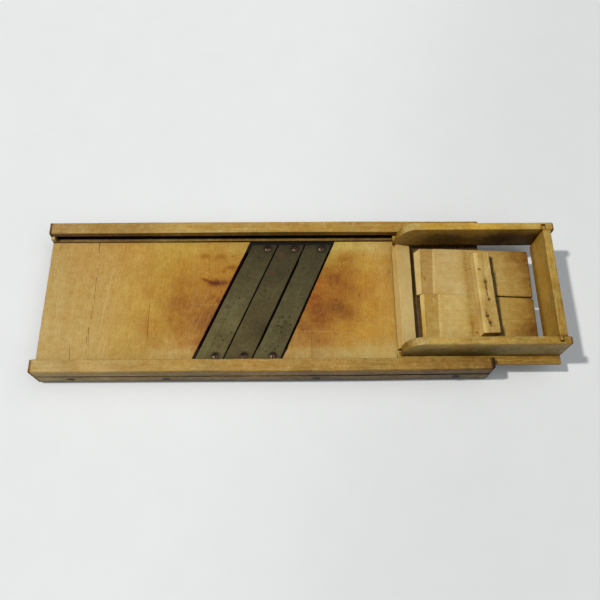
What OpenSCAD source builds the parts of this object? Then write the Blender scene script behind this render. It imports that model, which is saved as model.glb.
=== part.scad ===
// Old wooden kraut cutter: a grooved board with three slanted blades,
// a bottomless box that slides along it, and a loose pusher inside the box.
// Units are millimetres. +X runs along the board towards the pulled-out box,
// +Y is the rear, +Z is up, and z = 0 is the underside of the rails.

/* [Board] */
// Length of the two side rails
rail_l = 610; // [590:1:640]
// Overall width across the rails
board_w = 222; // [221:0.5:224]
// Height of the rails
rail_h = 50; // [48:0.5:54]
// Thickness of the upper flange of a rail
flange_t = 18; // [17:0.5:19]
// How far the lower lip stands in from the flange
lip = 4; // [3:0.5:5]
// Height of the groove floor above the underside
groove_z = 32; // [32:0.1:32.2]
// Height of the groove
groove_h = 9; // [8:0.5:11]
// Depth of the groove behind the flange face
groove_d = 7; // [7:0.5:9]
// Thickness of the bed boards
bed_t = 18; // [16:0.5:20]
// Height of the bed surface above the underside
bed_z = 30; // [30:0.1:30]
// Radius of the outer top edge of a rail
rail_r = 3.5; // [1.5:0.5:5]
// Radius of the outer bottom edge of a rail
rail_foot_r = 8; // [4:0.5:10]

/* [Blades] */
// Slant of the blades from straight across the board, in degrees
slant = 23; // [21:0.5:25]
// Place of the first cutting edge along the board, from the board's middle
blade_x = -54.3; // [-56:0.1:-52]
// Width of one blade, measured along the board
blade_w = 36.5; // [35:0.1:36.8]
// Distance from one blade to the next, measured along the board
blade_pitch = 38.6; // [38.2:0.1:39]
// Thickness of a blade
blade_t = 2; // [1.8:0.1:2]
// How far a cutting edge stands above the bed
bite = 0.6; // [0.3:0.1:0.6]
// Gap between the bed and the first cutting edge
throat_gap = 4.4; // [3:0.1:5]
// Rear end of the blades, from the middle
blade_rear = 84; // [83:0.5:86]
// Front end of the blades, from the middle
blade_front = 88.5; // [87:0.5:88.5]

/* [Box] */
// How far the box stands out beyond the right ends of the rails
box_out = 91.5; // [60:0.5:110]
// Length of a box side
side_l = 211.5; // [200:0.5:216]
// Half of the box's outer width
box_hw = 87.5; // [87:0.1:88]
// Thickness of a side board
side_t = 10.5; // [10:0.1:11]
// Top of the box above the underside of the rails
box_top = 86; // [80:0.5:92]
// Thickness of a runner
runner_t = 5.8; // [5:0.1:6.2]
// How far a runner reaches from the middle
runner_y = 98.8; // [98:0.1:99.4]
// Thickness of the end board
end_t = 11; // [10:0.1:12]
// How far the sides stand beyond the end board
end_in = 6; // [3.5:0.1:7]
// Width of the crosspiece at the open end
cross_w = 25.5; // [24:0.5:27]

/* [Pusher] */
// Length of the pusher boards
push_l = 160.5; // [150:0.5:162]
// Width of the rear pusher board
push_w = 70; // [67:0.5:72]
// Width of the front pusher board
front_w = 66; // [63:0.5:68]
// Thickness of the pusher boards
push_t = 11.1; // [10:0.1:13]
// Height of the cleat
cleat_h = 14; // [12:0.5:16]
// Length of the cleat
cleat_l = 119.5; // [100:0.5:124]

/* [Hidden] */
$fn = 40;

hw = board_w/2;                 // outer face of the rails
yi = hw - flange_t;             // inner face of the flange
yl = yi - lip;                  // inner face of the lip
xm = -box_out/2;                // the board's middle in the part's frame
h = rail_l/2;
bed_b = bed_z - bed_t;          // underside of the bed
k = tan(slant);
ca = cos(slant);
bw = blade_w*ca;                // true width of a blade
bp = blade_pitch*ca;
bx = blade_x*ca;                // first cutting edge across the slant
left_x = blade_x - throat_gap;  // end of the left bed, on the middle line
right_x = blade_x + 2*blade_pitch + blade_w + 2.9;
side_in = box_hw - side_t;
run_b = groove_z + 0.2;         // underside of the runners
side_b = run_b + runner_t;      // underside of the sides
sx1 = h + box_out;              // right end of the sides, from the board's middle
sx0 = sx1 - side_l;
ex1 = sx1 - end_in;
ex0 = ex1 - end_t;
tongue_t = 4;
tongue_d = 5.5;
run_y0 = side_in + 4;           // inner edge of the runners
rear_run_x0 = sx0 - 2.8;        // left ends of the runners
front_run_x0 = sx0 - 5.7;
cross_x0 = sx0 - 5;
push_b = bed_z + bite + 0.3;    // underside of the pusher
push_z = push_b + push_t;
push_x0 = cross_x0 + cross_w + 5;
cleat_x = cross_x0 + 122.3;
cleat_y = -1.75;
end_b = 32.1;                   // underside of the end board and the crosspiece
screw_off = 25.2;               // blade screws, from the cutting edge along the board
rear_screw_y = 77.7;
front_screw_y = -83.2;

wood = "burlywood";
wood_dark = "peru";
wood_pale = "wheat";
steel = "slategray";
iron = "dimgray";

// (y, z) outline drawn along X from x0 to x1
module along_x(x0, x1) translate([x0, 0, 0]) rotate([90, 0, 90]) linear_extrude(x1 - x0) children();
// (x, z) outline drawn along Y from y0 to y1
module along_y(y0, y1) translate([0, y1, 0]) rotate([90, 0, 0]) linear_extrude(y1 - y0) children();
// points of an arc about c
function arc(c, r, a0, a1, n = 5) = [for (i = [0:n]) c + r*[cos(a0 + (a1 - a0)*i/n), sin(a0 + (a1 - a0)*i/n)]];
// points of a quarter ellipse about c
function earc(c, rx, rz, a0, a1, n = 16) = [for (i = [0:n]) c + [rx*cos(a0 + (a1 - a0)*i/n), rz*sin(a0 + (a1 - a0)*i/n)]];

module board_place() translate([xm, 0, 0]) children();
module mirror_y(on) if (on) mirror([0, 1, 0]) children(); else children();

// ---- screws and nails ----
// slotted screw on +Z: head rim at z = 0, point at z = -len
module screw(len, r_head, r_shank, cone, dome, slot_a) {
  difference() {
    rotate_extrude($fn = 32) polygon(concat(
      [[0, -len], [r_shank*0.4, -len + 1.5], [r_shank, -len + 4], [r_shank, -cone], [r_head, -0.35], [r_head, 0]],
      dome > 0 ? [[r_head*0.86, dome*0.5], [r_head*0.6, dome*0.82], [r_head*0.3, dome*0.96], [0, dome]] : [[0, 0]]));
    rotate([0, 0, slot_a]) translate([-r_head*1.2, -0.55, dome - 1.0]) cube([r_head*2.4, 1.1, 3]);
  }
}
// the hole that takes such a screw, open above the rim
module screw_hole(len, r_head, r_shank, cone, up) rotate_extrude($fn = 32) polygon(
  [[0, -len], [r_shank*0.4, -len + 1.5], [r_shank, -len + 4], [r_shank, -cone], [r_head, -0.35], [r_head, up], [0, up]]);
// cut nail on +Z: flat head at z = 0, point at z = -len
module nail(len, r = 1.1, r_head = 1.7) rotate([0, 0, 33]) rotate_extrude($fn = 24) polygon(
  [[0, -len], [r*0.5, -len + 2.5], [r, -len + 5], [r, -1], [r_head, -0.6], [r_head, 0], [0, 0]]);

// ---- rails ----
function quirk() = [[hw, 27], [hw - 2.4, 27.7], [hw - 2.4, 30.3], [hw, 31]];
rail_section = concat(
  [[yl + 0.6, 0]],
  arc([hw - rail_foot_r, rail_foot_r], rail_foot_r, -90, 0, 6),
  quirk(),
  arc([hw - rail_r, rail_h - rail_r], rail_r, 0, 90, 6),
  [[yi + 1, rail_h], [yi, rail_h - 1], [yi, groove_z + groove_h], [yi + groove_d, groove_z + groove_h],
   [yi + groove_d, groove_z], [yl + 1, groove_z], [yl, groove_z - 0.8], [yl, 0.6]]);

rear_screw_x = [-258, -130, 130, 258];
front_screw_x = [-258, -130, 71, 258];
rail_screw_z = 17.5;
rail_screw_len = 46;
module rail_screw_set(xs, holes) for (i = [0:3]) translate([xs[i], hw - 0.6, rail_screw_z]) rotate([-90, 0, 0]) {
  if (holes) screw_hole(rail_screw_len, 5.2, 2.2, 3.2, 4);
  else screw(rail_screw_len, 5.2, 2.2, 3.2, 0, [20, 75, -35, 50][i]);
}
module rail(xs) difference() {
  along_x(-h, h) polygon(rail_section);
  rail_screw_set(xs, true);
}
module rear_rail() color(wood) board_place() rail(rear_screw_x);
module front_rail() color(wood) board_place() mirror([0, 1, 0]) rail(front_screw_x);
module groove_stop() along_x(-h, -h + 6) polygon([[yl + 0.8, groove_z], [yi + groove_d, groove_z],
  [yi + groove_d, groove_z + groove_h], [yi, groove_z + groove_h], [yl + 0.8, groove_z + groove_h - 1]]);
module rear_groove_stop() color(wood_pale) board_place() groove_stop();
module front_groove_stop() color(wood_pale) board_place() mirror([0, 1, 0]) groove_stop();

// ---- bed ----
function seam_x(y) = -158.4 - 0.01*y;
right_seam = 64.5;
module bed_board(pts) board_place() difference() {
  translate([0, 0, bed_b]) linear_extrude(bed_t) polygon(pts);
  rail_screw_set(rear_screw_x, true);
  mirror([0, 1, 0]) rail_screw_set(front_screw_x, true);
}
module bed_left_board() color(wood) bed_board([[-h, -yl], [seam_x(-yl), -yl], [seam_x(yl), yl], [-h, yl]]);
module bed_left_inner_board() color(wood_dark)
  bed_board([[seam_x(-yl), -yl], [left_x - k*yl, -yl], [left_x + k*yl, yl], [seam_x(yl), yl]]);
module bed_right_inner_board() color(wood_dark)
  bed_board([[right_x - k*yl, -yl], [right_seam, -yl], [right_seam, (right_seam - right_x)/k]]);
module bed_right_board() color(wood)
  bed_board([[right_seam, -yl], [h, -yl], [h, yl], [right_x + k*yl, yl], [right_seam, (right_seam - right_x)/k]]);

// ---- blades ----
// (across the slant, z) outline drawn along the slant
module along_blade() rotate([0, 0, -slant]) along_y(-130, 130) children();
fall = bite/bw;                                  // slope of a blade seat
function seat(x) = bed_z - blade_t + (bw - x)*fall;
module blade_section(i) translate([bx + i*bp, 0]) polygon([
  [0, seat(0) + blade_t - 0.35], [4.5, seat(4.5)], [bw, seat(bw)], [bw, bed_z],
  [8, seat(8) + blade_t], [0, seat(0) + blade_t - 0.1]]);
// x and y of blade screw i (0, 1, 2) on the rear or the front row
function blade_screw_pos(i, rear) = let (y = rear ? rear_screw_y : front_screw_y)
  [blade_x + i*blade_pitch + screw_off + k*y, y, bed_z + 0.35];
module blade_screw_set(holes) for (i = [0:2], rear = [0, 1]) translate(blade_screw_pos(i, rear == 1)) {
  if (holes) screw_hole(16, 4.8, 2, 2.1, 5);
  else screw(16, 4.8, 2, 2.1, 1.25, rear == 1 ? [58, 20, 62][i] : [100, 35, 80][i]);
}
module blade(i) board_place() difference() {
  intersection() {
    along_blade() blade_section(i);
    translate([-200, -blade_front, 0]) cube([400, blade_front + blade_rear, 60]);
  }
  blade_screw_set(true);
}
module blade_1() color(steel) blade(0);
module blade_2() color(steel) blade(1);
module blade_3() color(steel) blade(2);
module blade_screws() color(iron) board_place() blade_screw_set(false);

ledge_y = 72;
// pilot hole of a blade screw below the blade
module pilot_set() for (i = [0:2], rear = [0, 1]) translate(blade_screw_pos(i, rear == 1))
  rotate_extrude($fn = 32) polygon([[0, -16], [0.8, -14.5], [2, -12], [2, 5], [0, 5]]);
// stepped top: one sloping seat under each blade
ledge_section = concat(
  [[left_x*ca, bed_b], [right_x*ca, bed_b], [right_x*ca, seat(right_x*ca - bx - 2*bp)]],
  [for (i = [2:-1:1]) each [[bx + i*bp - 1, seat(-1)], [bx + i*bp - 1, seat(bp - 1)]]],
  [[left_x*ca, seat(left_x*ca - bx)]]);
module ledge(y0, y1) board_place() difference() {
  intersection() {
    along_blade() polygon(ledge_section);
    translate([-200, y0, 0]) cube([400, y1 - y0, 60]);
  }
  pilot_set();
}
module rear_blade_ledge() color(wood_dark) ledge(ledge_y, yl);
module front_blade_ledge() color(wood_dark) ledge(-yl, -ledge_y);
module rail_screws() color(iron) board_place() {
  rail_screw_set(rear_screw_x, false);
  mirror([0, 1, 0]) rail_screw_set(front_screw_x, false);
}

// ---- box ----
end_nail_z = [73, 58];
end_nail_x = ex1 - 5.2;
module end_nail_set() for (z = end_nail_z) translate([end_nail_x, box_hw, z]) rotate([-90, 0, 0]) nail(30);
module cross_nail_set() translate([sx0 + 8, box_hw, side_b + 3.4]) rotate([-90, 0, 0]) nail(28);
run_nail_x = [sx0 + 22, sx0 + 78, sx0 + 134, sx0 + 186];
module run_nail_set() for (x = run_nail_x) translate([x, side_in + side_t/2 + 0.8, run_b]) rotate([180, 0, 0]) nail(25);
// more = how much further the rounded left end reaches
module side_outline(more) polygon(concat(
  [[sx0 - more, side_b], [sx1, side_b]],
  arc([sx1 - 3, box_top - 3], 3, 0, 90, 6),
  earc([sx0 + 25, box_top - 36], 25 + more, 36, 90, 180, 20)));
module box_side(more) board_place() difference() {
  along_y(side_in, box_hw) side_outline(more);
  translate([ex0, side_in - 1, side_b - 1]) cube([tongue_t, tongue_d + 3, box_top]);
  end_nail_set();
  cross_nail_set();
  run_nail_set();
}
module box_rear_side() color(wood) box_side(0);
module box_front_side() color(wood) mirror([0, 1, 0]) box_side(1.4);
module box_end_board() color(wood_dark) board_place() difference() {
  union() {
    along_y(-side_in, side_in) polygon([[ex0 - 1.5, end_b], [ex1, end_b], [ex1, box_top], [ex0, box_top]]);
    translate([ex0, -side_in - tongue_d, side_b]) cube([tongue_t, 2*(side_in + tongue_d), box_top - side_b]);
  }
  end_nail_set();
  mirror([0, 1, 0]) end_nail_set();
}
module box_crosspiece() color(wood_pale) board_place() difference() {
  along_y(-side_in, side_in) polygon([[cross_x0, end_b], [cross_x0 + cross_w, end_b], [cross_x0 + cross_w, 38.5],
    [cross_x0 + 6.2, 45.4], [cross_x0 + 5.2, 45], [cross_x0, 34.5]]);
  cross_nail_set();
  mirror([0, 1, 0]) cross_nail_set();
}
module runner(x0) board_place() difference() {
  translate([x0, run_y0, run_b]) cube([sx1 - 1.5 - x0, runner_y - run_y0, runner_t]);
  run_nail_set();
}
module rear_runner() color(wood_pale) runner(rear_run_x0);
module front_runner() color(wood_pale) mirror([0, 1, 0]) runner(front_run_x0);
module both_sides() for (m = [0, 1]) mirror_y(m == 1) children();
module end_board_nails() color(iron) board_place() both_sides() end_nail_set();
module crosspiece_nails() color(iron) board_place() both_sides() cross_nail_set();
module runner_nails() color(iron) board_place() both_sides() run_nail_set();

// ---- pusher ----
// left end: bevel, a shallow sunken strip and a small ramp up to the flat top;
// dx = start along the board, foot = lean of the end face, bevel = end of the bevel
module push_outline(dx, foot, bevel) translate([push_x0, 0]) polygon([[dx, push_b], [push_l + 2, push_b],
  [push_l + 2, push_z], [29, push_z], [25.5, push_z - 1.2], [dx + bevel, push_z - 1], [dx + foot, push_b + 4.6]]);
// the seam between the boards runs askew and opens towards the right
function seam_r(x) = 2.1 - 0.0393*x;
function seam_f(x) = 1.75 - 0.0535*(x - 2.5);
cleat_nail_xy = [[296.1, 31.5], [302.3, 13.1], [304.3, -13.3], [299.1, -37.3], [302.2, -47.3]];
module cleat_nail_set() for (p = cleat_nail_xy) translate([p[0], p[1], push_z + cleat_h]) nail(23.5);
module pusher_rear_board() color(wood) board_place() difference() {
  intersection() {
    along_y(-10, 80) push_outline(0, 0, 7.6);
    translate([push_x0, 0, 0]) linear_extrude(60) polygon([[-1, seam_r(-1)], [push_l - 1.2, seam_r(push_l - 1.2)],
      [push_l, seam_r(push_l) + push_w], [8.5, seam_r(8.5) + push_w], [0.2, seam_r(0) + push_w - 5.2],
      [-1, seam_r(0) + push_w - 5.2]]);
  }
  cleat_nail_set();
}
module pusher_front_board() color(wood) board_place() difference() {
  intersection() {
    along_y(-80, 10) push_outline(2.5, 1.9, 6);
    translate([push_x0, 0, 0]) linear_extrude(60) polygon([[0, seam_f(0)], [push_l - 1.3, seam_f(push_l - 1.3)],
      [push_l - 2.4, seam_f(push_l) - front_w], [0, seam_f(0) - front_w]]);
  }
  cleat_nail_set();
}
// the cleat is a little wider at the front and stands askew
module pusher_cleat() color(wood_pale) board_place() difference() {
  translate([cleat_x, cleat_y, 0]) intersection() {
    rotate([0, 0, 0.9]) along_y(-cleat_l, cleat_l) polygon([[-13.2, push_z], [30, push_z],
      [30, push_z + cleat_h], [-11, push_z + cleat_h], [-11.7, push_z + cleat_h - 0.8]]);
    rotate([0, 0, 1.9]) along_y(-cleat_l/2, cleat_l/2) polygon([[-30, push_z], [11.6, push_z],
      [11.1, push_z + cleat_h - 0.6], [10.5, push_z + cleat_h], [-30, push_z + cleat_h]]);
  }
  cleat_nail_set();
}
module cleat_nails() color(iron) board_place() cleat_nail_set();

rear_rail();
front_rail();
rear_groove_stop();
front_groove_stop();
bed_left_board();
bed_left_inner_board();
bed_right_inner_board();
bed_right_board();
rear_blade_ledge();
front_blade_ledge();
blade_1();
blade_2();
blade_3();
blade_screws();
rail_screws();
box_rear_side();
box_front_side();
box_end_board();
box_crosspiece();
rear_runner();
front_runner();
end_board_nails();
crosspiece_nails();
runner_nails();
pusher_rear_board();
pusher_front_board();
pusher_cleat();
cleat_nails();
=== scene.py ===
import math

import bpy
import numpy as np
from mathutils import Euler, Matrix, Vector

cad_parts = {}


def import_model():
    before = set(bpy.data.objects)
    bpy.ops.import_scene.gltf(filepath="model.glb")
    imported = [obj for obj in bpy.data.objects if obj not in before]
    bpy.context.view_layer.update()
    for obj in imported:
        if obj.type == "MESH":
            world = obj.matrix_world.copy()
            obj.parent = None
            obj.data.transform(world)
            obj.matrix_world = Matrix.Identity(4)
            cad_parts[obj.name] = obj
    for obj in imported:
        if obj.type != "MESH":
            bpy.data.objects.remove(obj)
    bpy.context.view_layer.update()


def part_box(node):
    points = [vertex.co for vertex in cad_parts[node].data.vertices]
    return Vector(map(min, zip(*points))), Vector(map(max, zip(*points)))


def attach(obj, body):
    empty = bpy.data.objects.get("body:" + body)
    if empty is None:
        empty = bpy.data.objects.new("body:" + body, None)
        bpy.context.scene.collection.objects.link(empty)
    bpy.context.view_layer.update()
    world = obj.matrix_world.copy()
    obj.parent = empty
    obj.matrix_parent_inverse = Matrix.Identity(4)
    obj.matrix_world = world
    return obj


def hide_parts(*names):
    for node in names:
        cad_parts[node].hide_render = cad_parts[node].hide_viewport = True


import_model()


# ------------------------------------------------------------------ frame --
def node_box(name):
    lo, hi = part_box(name)
    return np.array(lo) * 1000.0, np.array(hi) * 1000.0


RLO, RHI = node_box("rear_rail")
XM = (RLO[0] + RHI[0]) / 2          # middle of the board, mm, in the part's frame
H = (RHI[0] - RLO[0]) / 2           # half the rail length
HW = RHI[1]                         # outer face of the rails
RAIL_H = RHI[2]
YL = RLO[1]                         # inner face of the lower lip
YI = YL + 4.0                       # inner face of the flange
GZ, GH, GD = 32.0, 9.0, 7.0         # groove floor, height and depth
BLO, BHI = node_box("bed_left_board")
BED_B, BED_Z = BLO[2], BHI[2]
SLANT = math.radians(23)
K, CA = math.tan(SLANT), math.cos(SLANT)
BLADE_X, BLADE_W, BLADE_PITCH, BLADE_T, BITE = -54.3, 36.5, 38.6, 2.0, 0.6
LEFT_X = BLADE_X - 4.4
RIGHT_X = BLADE_X + 2 * BLADE_PITCH + BLADE_W + 2.9
RIGHT_SEAM = 64.5
SLO, SHI = node_box("box_rear_side")
SIDE_IN, SIDE_OUT = SLO[1], SHI[1]
SX0, SX1 = SLO[0] - XM, SHI[0] - XM
SIDE_B, BOX_TOP = SLO[2], SHI[2]
ELO, EHI = node_box("box_end_board")
EX0, EX1 = ELO[0] - XM + 1.5, EHI[0] - XM
CLO, CHI = node_box("box_crosspiece")
CX0, CX1 = CLO[0] - XM, CHI[0] - XM
PLO, PHI = node_box("pusher_rear_board")
PX0, PX1 = PLO[0] - XM, PHI[0] - XM
PUSH_B, PUSH_Z = PLO[2], PHI[2]
QLO, QHI = node_box("pusher_cleat")
CLEAT_TOP = QHI[2]


# ------------------------------------------------------------------ noise --
def _hash(ix, iy, iz, seed):
    h = (ix * 374761393 + iy * 668265263 + iz * 2147483629 + seed * 1274126177) & 0xFFFFFFFF
    h = ((h ^ (h >> 13)) * 1274126177) & 0xFFFFFFFF
    h = ((h ^ (h >> 16)) * 2246822519) & 0xFFFFFFFF
    return ((h ^ (h >> 15)) & 0xFFFFFF) / float(0xFFFFFF) * 2 - 1


def vnoise(p, scale, seed=0):
    """Smooth noise in -1..1. scale: size of one cell along x, y, z in mm."""
    q = np.asarray(p, float) / np.asarray(scale, float)
    i = np.floor(q).astype(np.int64)
    f = q - i
    f = f * f * (3 - 2 * f)
    out = 0
    for dx in (0, 1):
        for dy in (0, 1):
            for dz in (0, 1):
                w = (f[..., 0] if dx else 1 - f[..., 0]) * (f[..., 1] if dy else 1 - f[..., 1]) * (f[..., 2] if dz else 1 - f[..., 2])
                out = out + w * _hash(i[..., 0] + dx, i[..., 1] + dy, i[..., 2] + dz, seed)
    return out


def fbm(p, scale, seed=0, octaves=3):
    out, a, s, t = 0, 1.0, np.asarray(scale, float), 0.0
    for o in range(octaves):
        out = out + a * vnoise(p, s, seed + 17 * o)
        t += a
        a *= 0.5
        s = s * 0.5
    return out / t


def line_noise(v, scale, seed):
    v = np.asarray(v, float)
    p = np.stack([v, np.zeros_like(v), np.zeros_like(v)], -1)
    return fbm(p, (scale, 1, 1), seed, 3)


def smooth(a, b, x):
    t = np.clip((x - a) / (b - a), 0, 1)
    return t * t * (3 - 2 * t)


# --------------------------------------------------------------- outlines --
def outline(corners, seg=4, edges=None, step=4.0):
    """Closed outline through rounded corners (a, b, radius). edges[i] may give
    the number of points between corner i and the next one."""
    n = len(corners)
    pts = []
    p = [np.array(c[:2], float) for c in corners]
    r = [float(c[2]) if len(c) > 2 else 0.0 for c in corners]
    ends = []
    for i in range(n):
        a, b, c = p[i - 1], p[i], p[(i + 1) % n]
        u, v = (a - b), (c - b)
        lu, lv = np.linalg.norm(u), np.linalg.norm(v)
        u, v = u / lu, v / lv
        ang = math.acos(max(-1, min(1, float(u @ v))))
        if r[i] <= 1e-6 or abs(ang - math.pi) < 1e-3:
            ends.append([b])
            continue
        t = min(r[i] / math.tan(ang / 2), lu * 0.48, lv * 0.48)
        rr = t * math.tan(ang / 2)
        mid = (u + v) / np.linalg.norm(u + v)
        cen = b + mid * rr / math.sin(ang / 2)
        s, e = b + u * t, b + v * t
        arc = []
        a0 = math.atan2(*(s - cen)[::-1])
        a1 = math.atan2(*(e - cen)[::-1])
        d = (a1 - a0 + math.pi) % (2 * math.pi) - math.pi
        for k in range(seg + 1):
            w = a0 + d * k / seg
            arc.append(cen + rr * np.array([math.cos(w), math.sin(w)]))
        ends.append(arc)
    for i in range(n):
        pts += ends[i]
        a, b = ends[i][-1], ends[(i + 1) % n][0]
        length = np.linalg.norm(b - a)
        m = edges[i] if edges and edges[i] is not None else max(0, int(length / step))
        if m >= 2 and length > 2.0:
            g = min(0.5, length * 0.12) / length
            fr = [g] + [g + (1 - 2 * g) * (k + 1) / (m - 1) for k in range(m - 2)] + [1 - g]
        else:
            fr = [(k + 1) / (m + 1) for k in range(m)]
        for f in fr:
            pts.append(a + (b - a) * f)
    return np.array(pts)


def stations(a, b, step, ra=1.0, rb=1.0, extra=(), k=4):
    """Places along an axis from a to b, closer together at the rounded ends."""
    s = [a + ra * (1 - math.cos(math.pi / 2 * i / k)) for i in range(k + 1)]
    s += [b - rb * (1 - math.cos(math.pi / 2 * i / k)) for i in range(k + 1)]
    m = max(1, int((b - rb - a - ra) / step))
    s += [a + ra + (b - rb - a - ra) * i / m for i in range(1, m)]
    s += [a + ra + 0.5, b - rb - 0.5]
    s += list(extra)
    s = sorted(s)
    out = [s[0]]
    for v in s[1:]:
        if v - out[-1] > 0.04:
            out.append(v)
    return np.array(out)


def end_drop(s, a, b, ra, rb):
    """How far a face is cut back near the two rounded ends."""
    ta = np.clip((a + ra - s) / max(ra, 1e-6), 0, 1)
    tb = np.clip((s - (b - rb)) / max(rb, 1e-6), 0, 1)
    return ra * (1 - np.sqrt(1 - ta * ta)) + rb * (1 - np.sqrt(1 - tb * tb))


# ----------------------------------------------------------------- meshes --
def loft(rings):
    """rings: (m, n, 3) closed loops. Gives vertices and faces of a capped tube."""
    rings = np.asarray(rings, float)
    m, n = rings.shape[:2]
    v = rings.reshape(-1, 3)
    i, j = np.meshgrid(np.arange(m - 1), np.arange(n), indexing="ij")
    a = i * n + j
    b = i * n + (j + 1) % n
    quads = np.stack([a, b, b + n, a + n], -1).reshape(-1, 4)
    # volume sign decides which way round
    c = v.mean(0)
    q = v[quads] - c
    vol = np.einsum("ij,ij->i", q[:, 0], np.cross(q[:, 1], q[:, 2])).sum() + np.einsum("ij,ij->i", q[:, 0], np.cross(q[:, 2], q[:, 3])).sum()
    faces = [list(map(int, f)) for f in quads]
    first, last = list(range(n - 1, -1, -1)), list(range((m - 1) * n, m * n))
    faces += [first, last]
    if vol < 0:
        faces = [f[::-1] for f in faces]
    return v, faces


class Parts:
    """Several closed shells gathered into one mesh."""

    def __init__(self):
        self.v, self.f, self.n = [], [], 0

    def add(self, v, f):
        v = np.asarray(v, float)
        self.v.append(v)
        self.f += [[i + self.n for i in q] for q in f]
        self.n += len(v)

    def get(self):
        return np.concatenate(self.v), self.f


def cut(v, f, cutters):
    """Takes closed shells away from a mesh with Blender's exact boolean."""
    def obj(name, vv, ff):
        me = bpy.data.meshes.new(name)
        me.from_pydata([tuple(p) for p in vv], [], ff)
        me.update()
        o = bpy.data.objects.new(name, me)
        bpy.context.scene.collection.objects.link(o)
        return o
    a = obj("cut_a", v, f)
    c = Parts()
    for cv, cf in cutters:
        c.add(cv, cf)
    b = obj("cut_b", *c.get())
    mod = a.modifiers.new("cut", "BOOLEAN")
    mod.object, mod.operation, mod.solver = b, "DIFFERENCE", "EXACT"
    bpy.context.view_layer.update()
    ev = a.evaluated_get(bpy.context.evaluated_depsgraph_get())
    me = ev.to_mesh()
    out = np.zeros(len(me.vertices) * 3)
    me.vertices.foreach_get("co", out)
    faces = [list(p.vertices) for p in me.polygons]
    ev.to_mesh_clear()
    for o in (a, b):
        m = o.data
        bpy.data.objects.remove(o)
        bpy.data.meshes.remove(m)
    return out.reshape(-1, 3), faces


def normals_of(me):
    n = np.zeros(len(me.vertices) * 3)
    me.vertices.foreach_get("normal", n)
    return n.reshape(-1, 3)


def edge_measure(me, co, n):
    """Positive on outer edges, negative in hollows."""
    e = np.zeros(len(me.edges) * 2, np.int64)
    me.edges.foreach_get("vertices", e)
    e = e.reshape(-1, 2)
    d = co[e[:, 1]] - co[e[:, 0]]
    length = np.linalg.norm(d, axis=1) + 1e-9
    d = d / length[:, None]
    w = 1.0 / (length + 0.4)
    acc = np.zeros(len(co))
    wt = np.zeros(len(co))
    np.add.at(acc, e[:, 0], -(d * n[e[:, 0]]).sum(1) * w)
    np.add.at(acc, e[:, 1], (d * n[e[:, 1]]).sum(1) * w)
    np.add.at(wt, e[:, 0], w)
    np.add.at(wt, e[:, 1], w)
    return acc / np.maximum(wt, 1e-9)


def lin(c):
    c = np.asarray(c, float) / 255.0
    return np.where(c <= 0.04045, c / 12.92, ((c + 0.055) / 1.055) ** 2.4)


def tone_field(p, anchors, scale=(1, 1, 1), power=2.6):
    """Smooth blend of a few named tones. anchors: ((x, y, z), (r, g, b))."""
    s = np.asarray(scale, float)
    w_all, c_all = 0, 0
    for pos, col in anchors:
        d = np.linalg.norm((p - np.asarray(pos, float)) / s, axis=1) + 4.0
        w = 1.0 / d ** power
        c_all = c_all + w[:, None] * lin(col)
        w_all = w_all + w
    return c_all / w_all[:, None]


WARM = 0.84      # old wood keeps little blue


def make(name, v, f, mat, body, node, slot, tone=None, grime_and_shade=None, rough=None, angle=40, amp=0.12, grain=(40, 5, 5), seed=1, hold=None):
    """Builds one piece from rail-centred millimetres, with worn surface noise and
    painted attributes, and puts it on its body in place of its CAD node."""
    v = np.asarray(v, float)
    me = bpy.data.meshes.new(name)
    me.from_pydata([tuple(p) for p in v], [], f)
    me.update()
    n = normals_of(me)
    if amp:
        k = fbm(v, grain, seed, 3) * 0.5 + 0.5
        big = fbm(v, (90, 60, 60), seed + 5, 2) * 0.5 + 0.5
        lift = amp * (0.6 * k + 0.6 * big)
        if hold is not None:            # neighbours stay flush with each other here
            lift = lift * hold(v)
        v = v - n * lift[:, None]
    me.vertices.foreach_set("co", ((v + np.array([XM, 0, 0])) / 1000.0).ravel())
    me.update()
    n = normals_of(me)
    e = edge_measure(me, v, n)
    col = np.ones((len(v), 4))
    if tone is not None:
        col[:, :3] = np.clip(tone(v, n), 0.0, 1.0)
        if slot.endswith("wood"):
            nm_pale = node in ("box_crosspiece", "pusher_rear_board")
            col[:, 2] *= 0.96 if nm_pale else WARM
        if slot == "blade_steel":
            col[:, :3] *= np.array([0.80, 0.745, 0.50])
    a = me.color_attributes.new("tone", "FLOAT_COLOR", "POINT")
    a.data.foreach_set("color", col.ravel())
    # this attribute holds real dirt and painted shade
    g = me.attributes.new("grime_and_shade", "FLOAT", "POINT")
    g.data.foreach_set("value", (np.clip(grime_and_shade(v, n), 0, 1) if grime_and_shade else np.zeros(len(v))))
    w = me.attributes.new("edge", "FLOAT", "POINT")
    w.data.foreach_set("value", np.clip(e * 2.2, -1, 1))
    me.materials.append(mat)
    me.shade_smooth()
    if angle:
        me.set_sharp_from_angle(angle=math.radians(angle))
    o = bpy.data.objects.new(name, me)
    bpy.context.scene.collection.objects.link(o)
    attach(o, body)
    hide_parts(node)
    return o


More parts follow.
